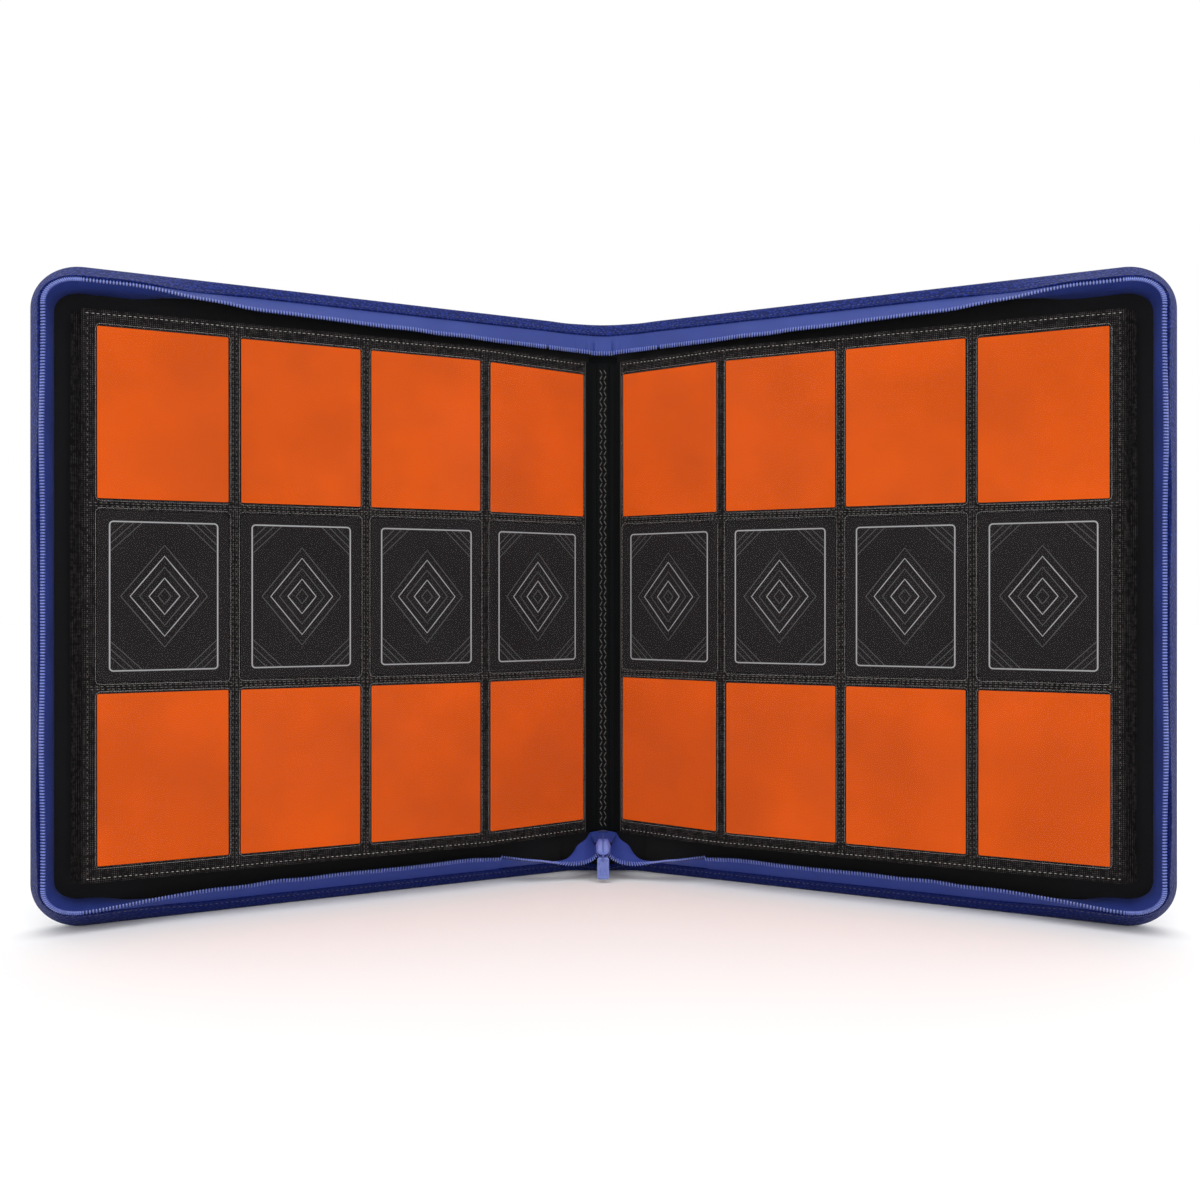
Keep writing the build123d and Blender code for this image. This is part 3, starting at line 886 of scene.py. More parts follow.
@dataclass
class RimWall:
    """The grained strip, the zip tape and its teeth round three sides of a cover."""

    layout: Layout
    side: Side
    strip_wide: float = 8.2
    tape_wide: float = 10.5
    strip_thick: float = 1.15
    tape_thick: float = 0.55
    tooth_pitch: float = 1.55
    high_start: float = 14.0
    low_start: float = 14.0
    low_tape_start: float = 46.0

    def lean_high(self, along: np.ndarray) -> tuple[np.ndarray, np.ndarray, np.ndarray]:
        """Flop of the top wall: how much it flops, and the strip's and tape's lean."""
        flop = smooth((252.0 - along) / 66.0)
        return flop, 66.0 * flop, np.clip(92.0 - 0.23 * along, 36, 92) * flop

    def lean_low(self, along: np.ndarray) -> tuple[np.ndarray, np.ndarray, np.ndarray]:
        """Flop of the bottom wall, which stands up again towards the slider."""
        flop = smooth((272.0 - along) / 62.0)
        tape = np.clip(66.0 - 0.08 * along, 40, 66) * flop
        return flop, 60.0 * flop, tape - 26.0 * smooth((64.0 - along) / 40.0)

    def outline(self, low_start: float) -> dict[str, np.ndarray]:
        """Places round the cover's edge, from the hinge along the bottom and back along the top.

        Args:
            low_start: where the bottom run begins.

        Returns:
            Places, outward directions, lengths along the edge, and the wall's flop at each.
        """
        length, height, corner = self.layout.length, self.layout.height, self.layout.corner
        centre = length - corner
        low = np.arange(low_start, centre, 1.9)
        turn = np.radians(np.linspace(-90, 0, 27))
        rise = np.arange(corner + 1.9, height - corner, 1.9)
        high = np.arange(centre, self.high_start, -1.9)
        high[-1] = self.high_start
        zero = np.zeros
        along = np.concatenate([low, centre + corner * np.cos(turn), np.full(len(rise), length),
                                centre + corner * np.cos(turn[::-1]), high[1:]])
        tall = np.concatenate([zero(len(low)), corner + corner * np.sin(turn), rise,
                               height - corner - corner * np.sin(turn[::-1]),
                               np.full(len(high) - 1, height)])
        out_along = np.concatenate([zero(len(low)), np.cos(turn), np.ones(len(rise)),
                                    np.cos(turn[::-1]), zero(len(high) - 1)])
        out_tall = np.concatenate([-np.ones(len(low)), np.sin(turn), zero(len(rise)),
                                   -np.sin(turn[::-1]), np.ones(len(high) - 1)])
        far = np.concatenate([[0], np.cumsum(np.hypot(np.diff(along), np.diff(tall)))])
        top = tall > height / 2
        lows, highs = self.lean_low(along), self.lean_high(along)
        flop, strip, tape = (np.where(top, h, w) for h, w in zip(highs, lows))
        return {"along": along, "tall": tall, "out_along": out_along, "out_tall": out_tall, "far": far,
                "flop": flop, "strip": strip, "tape": tape}

    def ruffle(self, at: dict[str, np.ndarray]) -> np.ndarray:
        """The uneven waves along the wall, millimetres."""
        ruffle = 0.35 * np.sin(at["far"] / 7.5 + 1.4 * np.sin(at["far"] / 21.0)) * at["flop"]
        return ruffle + 0.4 * np.sin(at["far"] / 24.0) + 0.2 * np.sin(at["far"] / 13.0 + 1.0)

    def section(self, low_start: float) -> tuple[Section, np.ndarray]:
        """The wall's cross sections, and the lengths along it."""
        at = self.outline(low_start)
        zero = np.zeros(1)
        face = np.array([self.layout.half_panel - 0.4])
        base = self.layout.cover(self.side, at["along"], face, at["tall"])
        origin_along = self.layout.cover(self.side, zero, zero, zero)
        step_along = self.layout.cover(self.side, zero + 1, zero, zero) - origin_along
        inward = self.layout.cover(self.side, zero, zero + 1, zero) - origin_along
        upward = np.array([[0.0, 0.0, 1.0]])
        outward = at["out_along"][:, None] * step_along + at["out_tall"][:, None] * upward
        origin = base - outward * 0.6
        fore = at["out_along"] ** 2
        upright = 1 - at["flop"]
        stand = upright * (36.0 - 16.0 * fore)
        tip = upright * (45.0 + 17.0 * fore)
        grow = 8.0 * (1 - at["flop"])
        ruffle = self.ruffle(at)
        made = Section(origin, np.repeat(inward, len(origin), 0), outward,
                       self.strip_wide + grow, self.tape_wide - grow, at["strip"] + stand,
                       at["tape"] + tip, ruffle)
        return made, at["far"]

    def band(self, shape: Shape, cut: Section, far: np.ndarray, start: np.ndarray, end: np.ndarray,
             thick: float, samples: int, bulge: float = 0.0) -> None:
        """Adds a closed band between two shares of the wall's width.

        Args:
            shape: what it is added to.
            cut: the wall's cross sections.
            far: lengths along the wall.
            start: share where the band begins, at each place.
            end: share where it ends, at each place.
            thick: its thickness.
            samples: points across it.
            bulge: how far its outer face swells.
        """
        base = np.linspace(0, 1, samples)
        fronts, backs = [], []
        for index in range(len(far)):
            one = cut.single(index)
            share = start[index] + (end[index] - start[index]) * base
            swell = bulge * np.sin(np.pi * np.clip(base, 0, 1)) ** 0.6
            front = one.line(share, thick / 2)[0]
            back = one.line(share, -thick / 2)[0]
            out = front - back
            out /= np.maximum(np.linalg.norm(out, axis=1, keepdims=True), 1e-9)
            fronts.append(front + out * swell[:, None])
            backs.append(back)
        width = (cut.strip + cut.tape)[:, None] * base
        flat = np.stack([np.broadcast_to(far[:, None], width.shape), width], -1)
        shape.slab(np.array(fronts), np.array(backs), flat)

    def teeth(self, shape: Shape, cut: Section, far: np.ndarray) -> None:
        """Adds the coil: a rounded bar across the tape's edge for every tooth, on a core cord.

        Args:
            shape: what it is added to.
            cut: the tape's cross sections.
            far: lengths along the tape.
        """
        edge = cut.line(np.array([0.93, 1.0]), self.tape_thick / 2 + 0.35)
        inner = cut.line(np.array([1.0]), -0.2)[:, 0]
        centre = edge[:, 1]
        count = int(far[-1] / self.tooth_pitch)
        at = (np.arange(count) + 0.5) * self.tooth_pitch
        across = sample(edge[:, 1] - edge[:, 0], far, at)
        tooth_row(shape, sample(centre, far, at), across, sample(centre - inner, far, at))
        shape.tube(centre - unit(centre - inner) * 0.3, 0.62, 6, mark=1)

    def facing(self, shape: Shape, low_start: float) -> None:
        """Adds the tape's inner side, from the teeth down to the cover's lining.

        Args:
            shape: what it is added to.
            low_start: where the bottom run begins.
        """
        cut, far = self.section(low_start)
        at = self.outline(low_start)
        lip = cut.line(np.array([0.95]), -0.5)[:, 0]
        fore = at["out_along"] ** 2
        deep = 1.0 + (1 - at["flop"]) * (12.6 - 3.4 * fore)
        root = cut.origin - cut.outward * deep[:, None] + cut.inward * 0.75
        t = np.linspace(0, 1, 10)[None, :, None]
        arch = np.sin(np.pi * t)
        behind = 2.2 * at["flop"][:, None, None] * cut.inward[:, None]
        middle = root[:, None] + (lip - root)[:, None] * t - (cut.outward[:, None] * 0.9 + behind) * arch
        middle = middle + cut.outward[:, None] * 0.5 * np.sin(far / 9.0 + 2.0)[:, None, None] * arch
        rise = np.linalg.norm(lip - root, axis=1)[:, None] * t[..., 0]
        flat = np.stack([np.broadcast_to(far[:, None], rise.shape), rise], -1)
        shape.slab(middle, middle + cut.outward[:, None] * 0.4, flat)

    def seam(self, shape: Shape, cut: Section, far: np.ndarray) -> None:
        """Adds the corded ridge between the strip and the tape, and the stitches beside it.

        Args:
            shape: what they are added to.
            cut: the wall's cross sections.
            far: lengths along the wall.
        """
        part = cut.strip / (cut.strip + cut.tape)
        ridge, sewn, under = [], [], []
        for index in range(len(far)):
            here = cut.single(index)
            ridge.append(here.line(np.array([part[index] - 0.01]), self.strip_thick / 2 + 0.25)[0, 0])
            sewn.append(here.line(np.array([part[index] - 0.1]), self.strip_thick / 2 + 0.3)[0, 0])
            under.append(here.line(np.array([part[index] - 0.1]), 0.0)[0, 0])
        shape.tube(np.array(ridge), 0.55, 8)
        stitches(shape, np.array(sewn), np.array(sewn) - np.array(under), 2.7, 1.8, 0.17, mark=1)

    def make(self) -> None:
        """Makes the wall's pieces on one cover."""
        name = self.side.value
        body = f"{name}_cover"
        cut, far = self.section(self.low_start)
        part = cut.strip / (cut.strip + cut.tape)
        shape = Shape()
        self.band(shape, cut, far, np.zeros_like(part), part + 0.03, self.strip_thick, 12, 0.35)
        strip = shape.build(f"{name}_rim_strip", [LEATHERETTE])
        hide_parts(*[f"{name}_cover_gusset_{run}" for run in ("top", "fore", "bottom")])
        shape = Shape()
        self.seam(shape, cut, far)
        seam = shape.build(f"{name}_rim_seam", [LEATHERETTE, FAINT_THREAD])
        cut, far = self.section(self.low_tape_start)
        part = cut.strip / (cut.strip + cut.tape)
        shape = Shape()
        self.band(shape, cut, far, part - 0.05, np.ones_like(part), self.tape_thick, 12)
        tape = shape.build(f"{name}_zip_tape", [TAPE, TAPE_PAINTED_SHADE])
        # Painted shade: the tape's lower runs take the darker blue of the same tape.
        for face in tape.data.polygons:
            face.material_index = int(face.center.z < SHADED_BELOW)
        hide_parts(*[f"{name}_cover_tape_{run}" for run in ("top", "fore", "bottom")])
        shape = Shape()
        self.facing(shape, self.low_tape_start)
        # Painted shade: the tape's inner side takes the darker blue of the same tape.
        facing = shape.build(f"{name}_zip_tape_facing", [TAPE_PAINTED_SHADE])
        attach(facing, body)
        shape = Shape()
        self.teeth(shape, cut, far)
        teeth = shape.build(f"{name}_zip_teeth", [TEETH, TOOTH_GAPS])
        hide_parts(*[f"{name}_cover_teeth_{run}" for run in ("top", "fore", "bottom")])
        for piece in (strip, seam, tape, teeth):
            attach(piece, body)


def unit(away: np.ndarray) -> np.ndarray:
    """Directions of length one."""
    return away / np.maximum(np.linalg.norm(away, axis=-1, keepdims=True), 1e-9)


def sample(values: np.ndarray, far: np.ndarray, at: np.ndarray) -> np.ndarray:
    """Points or directions picked along a line.

    Args:
        values: (places, 3) values along the line.
        far: how far along the line each value is.
        at: how far along the line to pick.

    Returns:
        (picks, 3) values.
    """
    return np.stack([np.interp(at, far, values[:, k]) for k in range(3)], -1)


def tooth_row(shape: Shape, places: np.ndarray, across: np.ndarray, up: np.ndarray) -> None:
    """Adds one rounded bar for every tooth of a zip.

    Args:
        shape: the shape that gets the bars.
        places: (teeth, 3) middles of the bars.
        across: directions across the tape.
        up: directions off the tape's face.
    """
    across = unit(across)
    up = unit(up - across * (up * across).sum(1, keepdims=True))
    run = np.cross(up, across)
    turn = np.linspace(0, 2 * math.pi, TOOTH_SIDES, endpoint=False)
    form = np.array([[np.cos(t) * r * 0.86, place, np.sin(t) * r * 1.3]
                     for place, r in TOOTH_RINGS for t in turn])
    faces = grid_faces(len(TOOTH_RINGS), TOOTH_SIDES, wrap=True).tolist()
    last = (len(TOOTH_RINGS) - 1) * TOOTH_SIDES
    faces += [list(range(TOOTH_SIDES))[::-1], list(range(last, last + TOOTH_SIDES))]
    shape.scatter(form, faces, places, np.stack([run, across, up], 1))


def stitches(shape: Shape, path: np.ndarray, off: np.ndarray, pitch: float, length: float,
             radius: float, mark: int = 0, start: float = 0.0) -> None:
    """Adds a row of short raised stitches.

    Args:
        shape: what they are added to.
        path: (n, 3) the line that they follow.
        off: (n, 3) away from the cloth.
        pitch: from one stitch to the next.
        length: of one stitch.
        radius: half a stitch's width.
        mark: the finish.
        start: bare length before the first.
    """
    far = lengths(path)
    at = np.arange(start + pitch / 2, far[-1] - pitch / 3, pitch)
    if len(at) == 0:
        return
    at = at + 0.12 * np.sin(at * 3.7)
    places = sample(path, far, at)
    run = unit(sample(path, far, at + 0.3) - sample(path, far, at - 0.3))
    up = sample(off, far, at)
    up = unit(up - run * (up * run).sum(1, keepdims=True))
    side = np.cross(up, run)
    half = length / 2
    form = np.array([[-half, 0, -radius * 0.3], [half, 0, -radius * 0.3], [0, radius, 0], [0, -radius, 0],
                     [-half * 0.5, 0, radius * 0.9], [half * 0.5, 0, radius * 0.9]])
    faces = [[0, 3, 4], [0, 4, 2], [1, 5, 3], [1, 2, 5], [3, 5, 4], [2, 4, 5], [0, 2, 1, 3]]
    shape.scatter(form, faces, places, np.stack([run, side, up], 1), mark)


@dataclass
class SpineFold:
    """The cloth that crosses from the spine to one cover at an end of the spine, and the hinge grooves."""

    layout: Layout
    side: Side
    wall: RimWall
    spine_face: float = 1.75
    flat_half: float = 17.0
    samples: int = 46

    def plan_path(self, cover_end: float) -> tuple[np.ndarray, np.ndarray, np.ndarray]:
        """The inner face's line in plan, from the middle of the spine to a place on the cover.

        Args:
            cover_end: how far along the cover it ends.

        Returns:
            Plan points, plan directions out of the face, and lengths along the line.
        """
        layout = self.layout
        end = layout.cover_plan(np.array([cover_end]), np.array([layout.half_panel - 0.4]))[0]
        run = heading(layout.rest_angle)
        t = np.linspace(0, 1, self.samples)[:, None]
        start = np.array([self.flat_half, self.spine_face - 0.4])
        bend = start + np.array([1.0, 0.0]) * 8.0
        back = end - run * 9.0
        curve = bezier(t, start, bend, back, end)
        flat = np.stack([np.linspace(0, self.flat_half, 18)[:-1], np.full(17, start[1])], -1)
        plan = np.concatenate([flat, curve])
        out = square(plan)
        far = lengths(plan)
        return plan, out, far

    def section(self, end: Edge, cover_end: float) -> tuple[Section, np.ndarray]:
        """The rim wall's cross sections across the hinge at one end of the spine."""
        plan, out, far = self.plan_path(cover_end)
        high = end is Edge.HIGH
        height = self.layout.height if high else 0.0
        sign = 1.0 if high else -1.0
        dip = 1.3 * np.exp(-((plan[:, 0] / 15.0) ** 2)) if high else 0 * plan[:, 0]
        origin = self.layout.row(self.side, plan, height - sign * 0.6 - dip)
        inward = self.layout.row(self.side, out, 0.0) - self.layout.row(self.side, np.zeros_like(out), 0.0)
        outward = np.tile([[0.0, 0.0, sign]], (len(plan), 1))
        share = far / far[-1]
        along = cover_end * share
        lean = (self.wall.lean_high if high else self.wall.lean_low)(along)
        tape, strip = lean[2], lean[1]
        across = plan[:, 0]
        near = np.exp(-((across / 13.0) ** 2))
        folds = 0.55 * np.sin(across * 0.85) + 0.5 * np.sin(across * 1.55 + 0.8)
        pucker = near * (folds + 0.3 * np.cos(across * 2.6))
        if high:
            strip = strip + 4 * near
            tape = tape - 4 * near
        else:
            strip = strip - 30 * near
        at = self.wall.outline(cover_end)
        first = -1 if high else 0
        end_ruffle = self.wall.ruffle(at)[first] * smooth((share - 0.55) / 0.45)
        ruffle = (pucker if high else 0 * across) + end_ruffle
        made = Section(origin, inward, outward, np.full(len(plan), self.wall.strip_wide),
                       np.full(len(plan), self.wall.tape_wide + (1.2 * near if high else 0 * near)),
                       strip, tape, ruffle + 1e-6)
        return made, far

    def wall_pieces(self, end: Edge) -> list[bpy.types.Object]:
        """The rim wall across the hinge at one end of the spine."""
        name = f"{self.side.value}_hinge_{end.value}"
        cut, far = self.section(end, self.wall.high_start)
        part = cut.strip / (cut.strip + cut.tape)
        made = []
        shape = Shape()
        self.wall.band(shape, cut, far, np.zeros_like(part), part + 0.03, self.wall.strip_thick, 10, 0.35)
        made.append(shape.build(f"{name}_strip", [LEATHERETTE]))
        shape = Shape()
        self.wall.seam(shape, cut, far)
        made.append(shape.build(f"{name}_seam", [LEATHERETTE, FAINT_THREAD]))
        if end is Edge.HIGH:
            shape = Shape()
            self.wall.band(shape, cut, far, part - 0.05, np.ones_like(part), self.wall.tape_thick, 12)
            made.append(shape.build(f"{name}_tape", [TAPE]))
            shape = Shape()
            self.wall.teeth(shape, cut, far)
            made.append(shape.build(f"{name}_teeth", [TEETH, TOOTH_GAPS]))
        return made

    def groove(self, name: str, depth: float, thick: float, finish: Finish,
               inset: float) -> bpy.types.Object:
        """A strip of cloth down the hinge groove.

        Args:
            name: the piece's name.
            depth: inward of the panels' middle plane.
            thick: the cloth's thickness.
            finish: its finish.
            inset: how far inside the top and bottom edges it stops.

        Returns:
            The piece.
        """
        layout = self.layout
        end = layout.cover_plan(np.array([7.5]), np.array([depth]))[0]
        run = heading(layout.rest_angle)
        t = np.linspace(0, 1, 17)[:, None]
        start = np.array([layout.hinge_across - 7.5, depth])
        dip = 0.25 if depth < 0 else -0.5
        bend, back = start + np.array([5.0, dip]), end - run * 5.0 + np.array([0, dip])
        plan = bezier(t, start, bend, back, end)
        out = square(plan) * thick / 2
        heights = np.linspace(inset, layout.height - inset, 70)
        wave = 0.12 * np.sin(heights / 13.0)[:, None, None] * np.sin(np.pi * t)[None]
        front = layout.row(self.side, plan[None] + out[None] + wave, heights[:, None])
        back_face = layout.row(self.side, plan[None] - out[None] + wave, heights[:, None])
        far = lengths(plan)
        flat = np.stack(np.broadcast_arrays(far[None], heights[:, None]), -1)
        shape = Shape()
        shape.slab(front, back_face, flat)
        return shape.build(name, [finish])

    def make(self) -> None:
        """Makes the pieces that cross between the spine and the cover."""
        name, sign = self.side.value, self.side.sign
        made = self.wall_pieces(Edge.HIGH) + self.wall_pieces(Edge.LOW)
        made.append(self.groove(f"{name}_groove_cloth", -2.1, 1.2, LEATHERETTE, 0.3))
        made.append(self.groove(f"{name}_groove_lining", 1.4, 0.8, LINING, 1.0))
        for piece in made:
            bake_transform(piece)


@dataclass
class Spine:
    """The spine's padded outside, its lining, and the binding that holds the leaves."""

    layout: Layout
    half: float = 21.1
    low: float = 25.5
    high: float = 321.5

    def panel(self, name: str, finish: Finish, outer: float, inner: float, half: float, inset: float,
              puff: float, roll: float) -> bpy.types.Object:
        """A soft flat panel across the spine."""
        rim = NEAR[:6]
        across = np.concatenate([-half + rim, np.linspace(-half + 4, half - 4, 17), half - rim[::-1]])
        tall = np.concatenate([inset + rim, np.linspace(inset + 5, self.layout.height - inset - 5, 74),
                               self.layout.height - inset - rim[::-1]])
        x, z = np.meshgrid(across, tall)
        dip = 0.7 * np.exp(-((x / 15.0) ** 2)) * smooth((z - 280.0) / 67.0)
        inside = np.minimum(half - np.abs(x), np.minimum(z - inset, self.layout.height - inset - z))
        over = np.clip(inside / roll, 0, 1)
        edge = inner + (outer - inner) * (0.35 + 0.65 * np.sqrt(np.maximum(1 - (1 - over) ** 2, 0)))
        swell = puff * (1 - np.exp(-((inside / 9.0) ** 2))) * (1 + 0.08 * np.sin(z / 19.0))
        out = np.sign(outer - inner)
        front = self.layout.row(Side.RIGHT, np.stack([x, edge + out * swell], -1), z - dip)
        back = self.layout.row(Side.RIGHT, np.stack([x, np.full_like(x, inner)], -1), z - dip)
        shape = Shape()
        shape.slab(front, back, np.stack([x, z], -1))
        return shape.build(name, [finish], CRISP)

    def binding(self) -> None:
        """The cloth ridge over the bound edges, its zigzag stitching and the strip under it."""
        across = np.linspace(-6.6, 6.6, 19)
        tall = np.linspace(self.low, self.high, 100)
        x, z = np.meshgrid(across, tall)
        dome = 2.6 + 2.3 * np.cos(x / 6.6 * math.pi / 2) ** 0.7 + 0.12 * np.sin(z / 6.0) * np.cos(x / 3.0)
        groove = -0.5 * np.exp(-((x / 1.3) ** 2))
        front = self.layout.row(Side.RIGHT, np.stack([x, dome + groove], -1), z)
        back = self.layout.row(Side.RIGHT, np.stack([x, np.full_like(x, 2.5)], -1), z)
        shape = Shape()
        shape.slab(front, back, np.stack([x, z], -1))
        ridge = shape.build("binding_ridge", [BINDING], CRISP)
        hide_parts("binding_margins")
        shape = Shape()
        pitch = 3.4
        steps = np.arange(self.low + 3, self.high - 5, pitch)
        for place in (-1.3, 1.3):
            for index, low in enumerate(steps):
                flip = 1.0 if index % 2 else -1.0
                line = np.array([[place - 0.75 * flip, low], [place + 0.75 * flip, low + pitch * 0.8]])
                forward = 2.6 + 2.3 * np.cos(line[:, 0] / 6.6 * math.pi / 2) ** 0.7 - 0.2
                path = self.layout.row(Side.RIGHT, np.stack([line[:, 0], forward], -1), line[:, 1])
                fine = path[:1] + (path[1:] - path[:1]) * np.linspace(0, 1, 5)[:, None]
                fine[:, 1] -= 0.35 * np.sin(np.linspace(0, math.pi, 5))
                shape.tube(fine, np.array([0.12, 0.24, 0.27, 0.24, 0.12]), 6)
        thread = shape.build("binding_zigzag_thread", [FAINT_THREAD])
        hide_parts("binding_stitching")
        strip = self.panel_strip()
        for piece in (ridge, thread, strip):
            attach(piece, "spine")

    def panel_strip(self) -> bpy.types.Object:
        """The cloth strip that the bound edges are sewn to."""
        across = np.linspace(-9, 9, 13)
        tall = np.linspace(21.5, 325.5, 80)
        x, z = np.meshgrid(across, tall)
        front_f = 2.5 + 0.08 * np.sin(z / 5.0)
        front = self.layout.row(Side.RIGHT, np.stack([x, front_f], -1), z)
        back = self.layout.row(Side.RIGHT, np.stack([x, np.full_like(x, 1.8)], -1), z)
        shape = Shape()
        shape.slab(front, back, np.stack([x, z], -1))
        strip = shape.build("binding_under_strip", [BINDING])
        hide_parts("binding_strip")
        return strip

    def make(self) -> None:
        """Makes the spine."""
        pad = self.panel("spine_pad", LEATHERETTE, -3.25, 0.9, self.half, 0.0, 0.9, 3.0)
        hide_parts("spine_skin", "spine_padding")
        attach(pad, "spine")
        lining = self.panel("spine_lining_cloth", LINING, 1.7, 1.1, self.half + 1.6, 0.9, 0.05, 1.5)
        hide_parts("spine_lining")
        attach(lining, "spine")
        self.binding()


@dataclass
class Leaf:
    """One leaf of card pockets: its bend, its length and where its cards stand."""

    layout: Layout
    side: Side
    number: int
    card_wide: float = 63.5
    card_tall: float = 88.9
    column_pitch: float = 69.85
    row_pitch: float = 95.2
    low: float = 25.5
    high: float = 321.5
    fold: tuple[float, float] = (70.0, 43.2)
    start: float = 68.7
    border: float = 7.0
    stagger: float = 0.6
    filled_thick: float = 1.1
    empty_thick: float = 0.42
    filled_gap: float = 0.33

    def drop(self, gap: float) -> float:
        """How far the leaf lies under the top one."""
        thick = [self.filled_thick] * 2 + [self.empty_thick] * 8
        total = 0.0
        for index in range(self.number):
            total += (thick[index] + thick[index + 1]) / 2 + (self.filled_gap if index < 2 else gap)
        return total

    @property
    def length(self) -> float:
        """From the bend to the fore edge."""
        gaps = 2.5 * (self.column_pitch - self.card_wide)
        return 3 * self.card_wide + gaps + self.border + self.stagger * self.number

    def frame(self) -> tuple[np.ndarray, float, float]:
        """The bend point in plan, and the inner and outer angles."""
        start, middle, fore = self.drop(0.12), self.drop(0.7), self.drop(0.33)
        half = heading(26.5)
        bend = np.array(self.fold) - middle * np.array([-half[1], half[0]])
        inner = 31.0 - math.degrees(math.atan2(middle - start, self.start))
        outer = 22.0 + math.degrees(math.atan2(middle - fore, self.length))
        return bend, inner, outer

    def plan(self, along: np.ndarray, off: np.ndarray | float) -> np.ndarray:
        """Plan points on the leaf.

        Args:
            along: from the bend, negative towards the binding.
            off: in front of the leaf's middle.

        Returns:
            (..., 2) plan points.
        """
        along, off = np.broadcast_arrays(np.asarray(along, float), off)
        bend, inner, outer = self.frame()
        share = smooth((along + 2.6) / 5.2)
        angle = inner + (outer - inner) * share
        run = np.where(along[..., None] < 0, heading(inner), heading(outer))
        cut = 0.1 * np.exp(-((along / 1.8) ** 2))
        norm = heading(angle + 90)
        return bend + along[..., None] * run + (off - cut)[..., None] * norm

    def place(self, along: np.ndarray, off: np.ndarray | float, height: np.ndarray | float) -> np.ndarray:
        """Row frame points on the leaf."""
        along, off, height = np.broadcast_arrays(np.asarray(along, float), off, height)
        return self.layout.row(self.side, self.plan(along, off), height)

    def columns(self) -> list[float]:
        """Middle of each column, from the bend."""
        first = self.column_pitch / 2
        return [-first] + [first + index * self.column_pitch for index in range(3)]

    def rows(self) -> list[float]:
        """Middle height of each row."""
        middle = (self.low + self.high) / 2
        return [middle + self.row_pitch * step for step in (-1, 0, 1)]

    def cloth(self, shape: Shape, half: float, start: float, ripple: float) -> None:
        """Adds the leaf's woven cloth, softly rippled at its free edges.

        Args:
            shape: what it is added to.
            half: half its thickness.
            start: how far it runs towards the binding.
            ripple: the size of its waves.
        """
        inner = np.linspace(-start, -3, 22)
        bent = np.linspace(-2.2, 2.2, 7)
        outer = np.linspace(3.2, self.length, 62)
        along = np.concatenate([inner, bent, outer])
        tall = np.linspace(self.low, self.high, 60)
        a, z = np.meshgrid(along, tall)
        fore = smooth((a - self.length + 22) / 22)
        free = ripple * fore * np.sin(z / 19.0 + self.number * 1.7)
        wave = free + 0.3 * ripple * np.sin(z / 31.0 + a / 23.0)
        trim = 0.25 * fore * np.sin(z / 41.0 + self.number)
        front = self.place(a + trim, half + wave, z)
        back = self.place(a + trim, wave - half, z)
        shape.slab(front, back, np.stack([a, z], -1))

    def sewing(self, shape: Shape, face: float, off: float) -> None:
        """Adds the rows of stitches on one face.

        Args:
            shape: what they are added to.
            face: 1 for the front, -1 for the back.
            off: distance from the leaf's middle.
        """
        rows, columns = self.rows(), self.columns()
        gap_row = (rows[1] + rows[0]) / 2
        gap_top = (rows[2] + rows[1]) / 2
        along = np.linspace(-self.start + 0.8, self.length - 1.2, 240)
        level = [self.low + 2.1, self.high - 2.1, gap_row - 0.6, gap_row + 0.9]
        level += [gap_top - 0.9, gap_top + 0.6]
        for index, height in enumerate(level):
            line = self.place(along, face * off, height + 0.12 * np.sin(along / 14.0 + index))
            out = line - self.place(along, 0.0, height)
            stitches(shape, line, out, 2.5, 1.65, 0.25, mark=1 if index > 1 else 0, start=0.3 * index)
        tall = np.linspace(self.low + 1.2, self.high - 1.2, 160)
        gaps = [(columns[k] + columns[k + 1]) / 2 for k in range(3)]
        uprights = [self.length - 2.3, -self.start + 1.2]
        for gap in gaps[1:]:
            uprights += [gap - 0.9, gap + 1.0]
        uprights += [gaps[0] + 1.9]
        for index, place in enumerate(uprights):
            line = self.place(place + 0.1 * np.sin(tall / 11.0 + index), face * off, tall)
            out = line - self.place(np.full_like(tall, place), 0.0, tall)
            stitches(shape, line, out, 2.6, 1.5, 0.2, mark=1, start=0.37 * index)

    def outline(self, wide: float, tall: float, radius: float, steps: int = 6) -> np.ndarray:
        """A rectangle with rounded corners, centred on nothing."""
        points = []
        for quarter, (x, z) in enumerate(((1, 1), (-1, 1), (-1, -1), (1, -1))):
            turn = np.radians(np.linspace(0, 90, steps) + 90 * quarter)
            centre = np.array([x * (wide / 2 - radius), z * (tall / 2 - radius)])
            points.append(centre + radius * np.stack([np.cos(turn), np.sin(turn)], -1))
        return np.concatenate(points)

    def card(self, shape: Shape, column: float, row: float, face: float, radius: float, tilt: float,
             slip: tuple[float, float]) -> None:
        """Adds one card: its printed face, its back and its cut edge."""
        ring = self.outline(self.card_wide, self.card_tall, radius)
        turn = math.radians(tilt)
        spun = ring @ np.array([[math.cos(turn), math.sin(turn)], [-math.sin(turn), math.cos(turn)]])
        a, z = column + spun[:, 0] + slip[0], row + spun[:, 1] + slip[1]
        count = len(ring)
        front = self.place(a, face * 0.44, z)
        back = self.place(a, face * 0.16, z)
        faces = [list(range(count)), list(range(2 * count - 1, count - 1, -1))]
        shape.add(np.concatenate([front, back]), faces, np.concatenate([ring, ring]))
        rim = [[k, (k + 1) % count, count + (k + 1) % count, count + k] for k in range(count)]
        start = shape.count - 2 * count
        shape.faces.extend([[v + start for v in one] for one in rim])
        shape.marks.extend([1] * count)

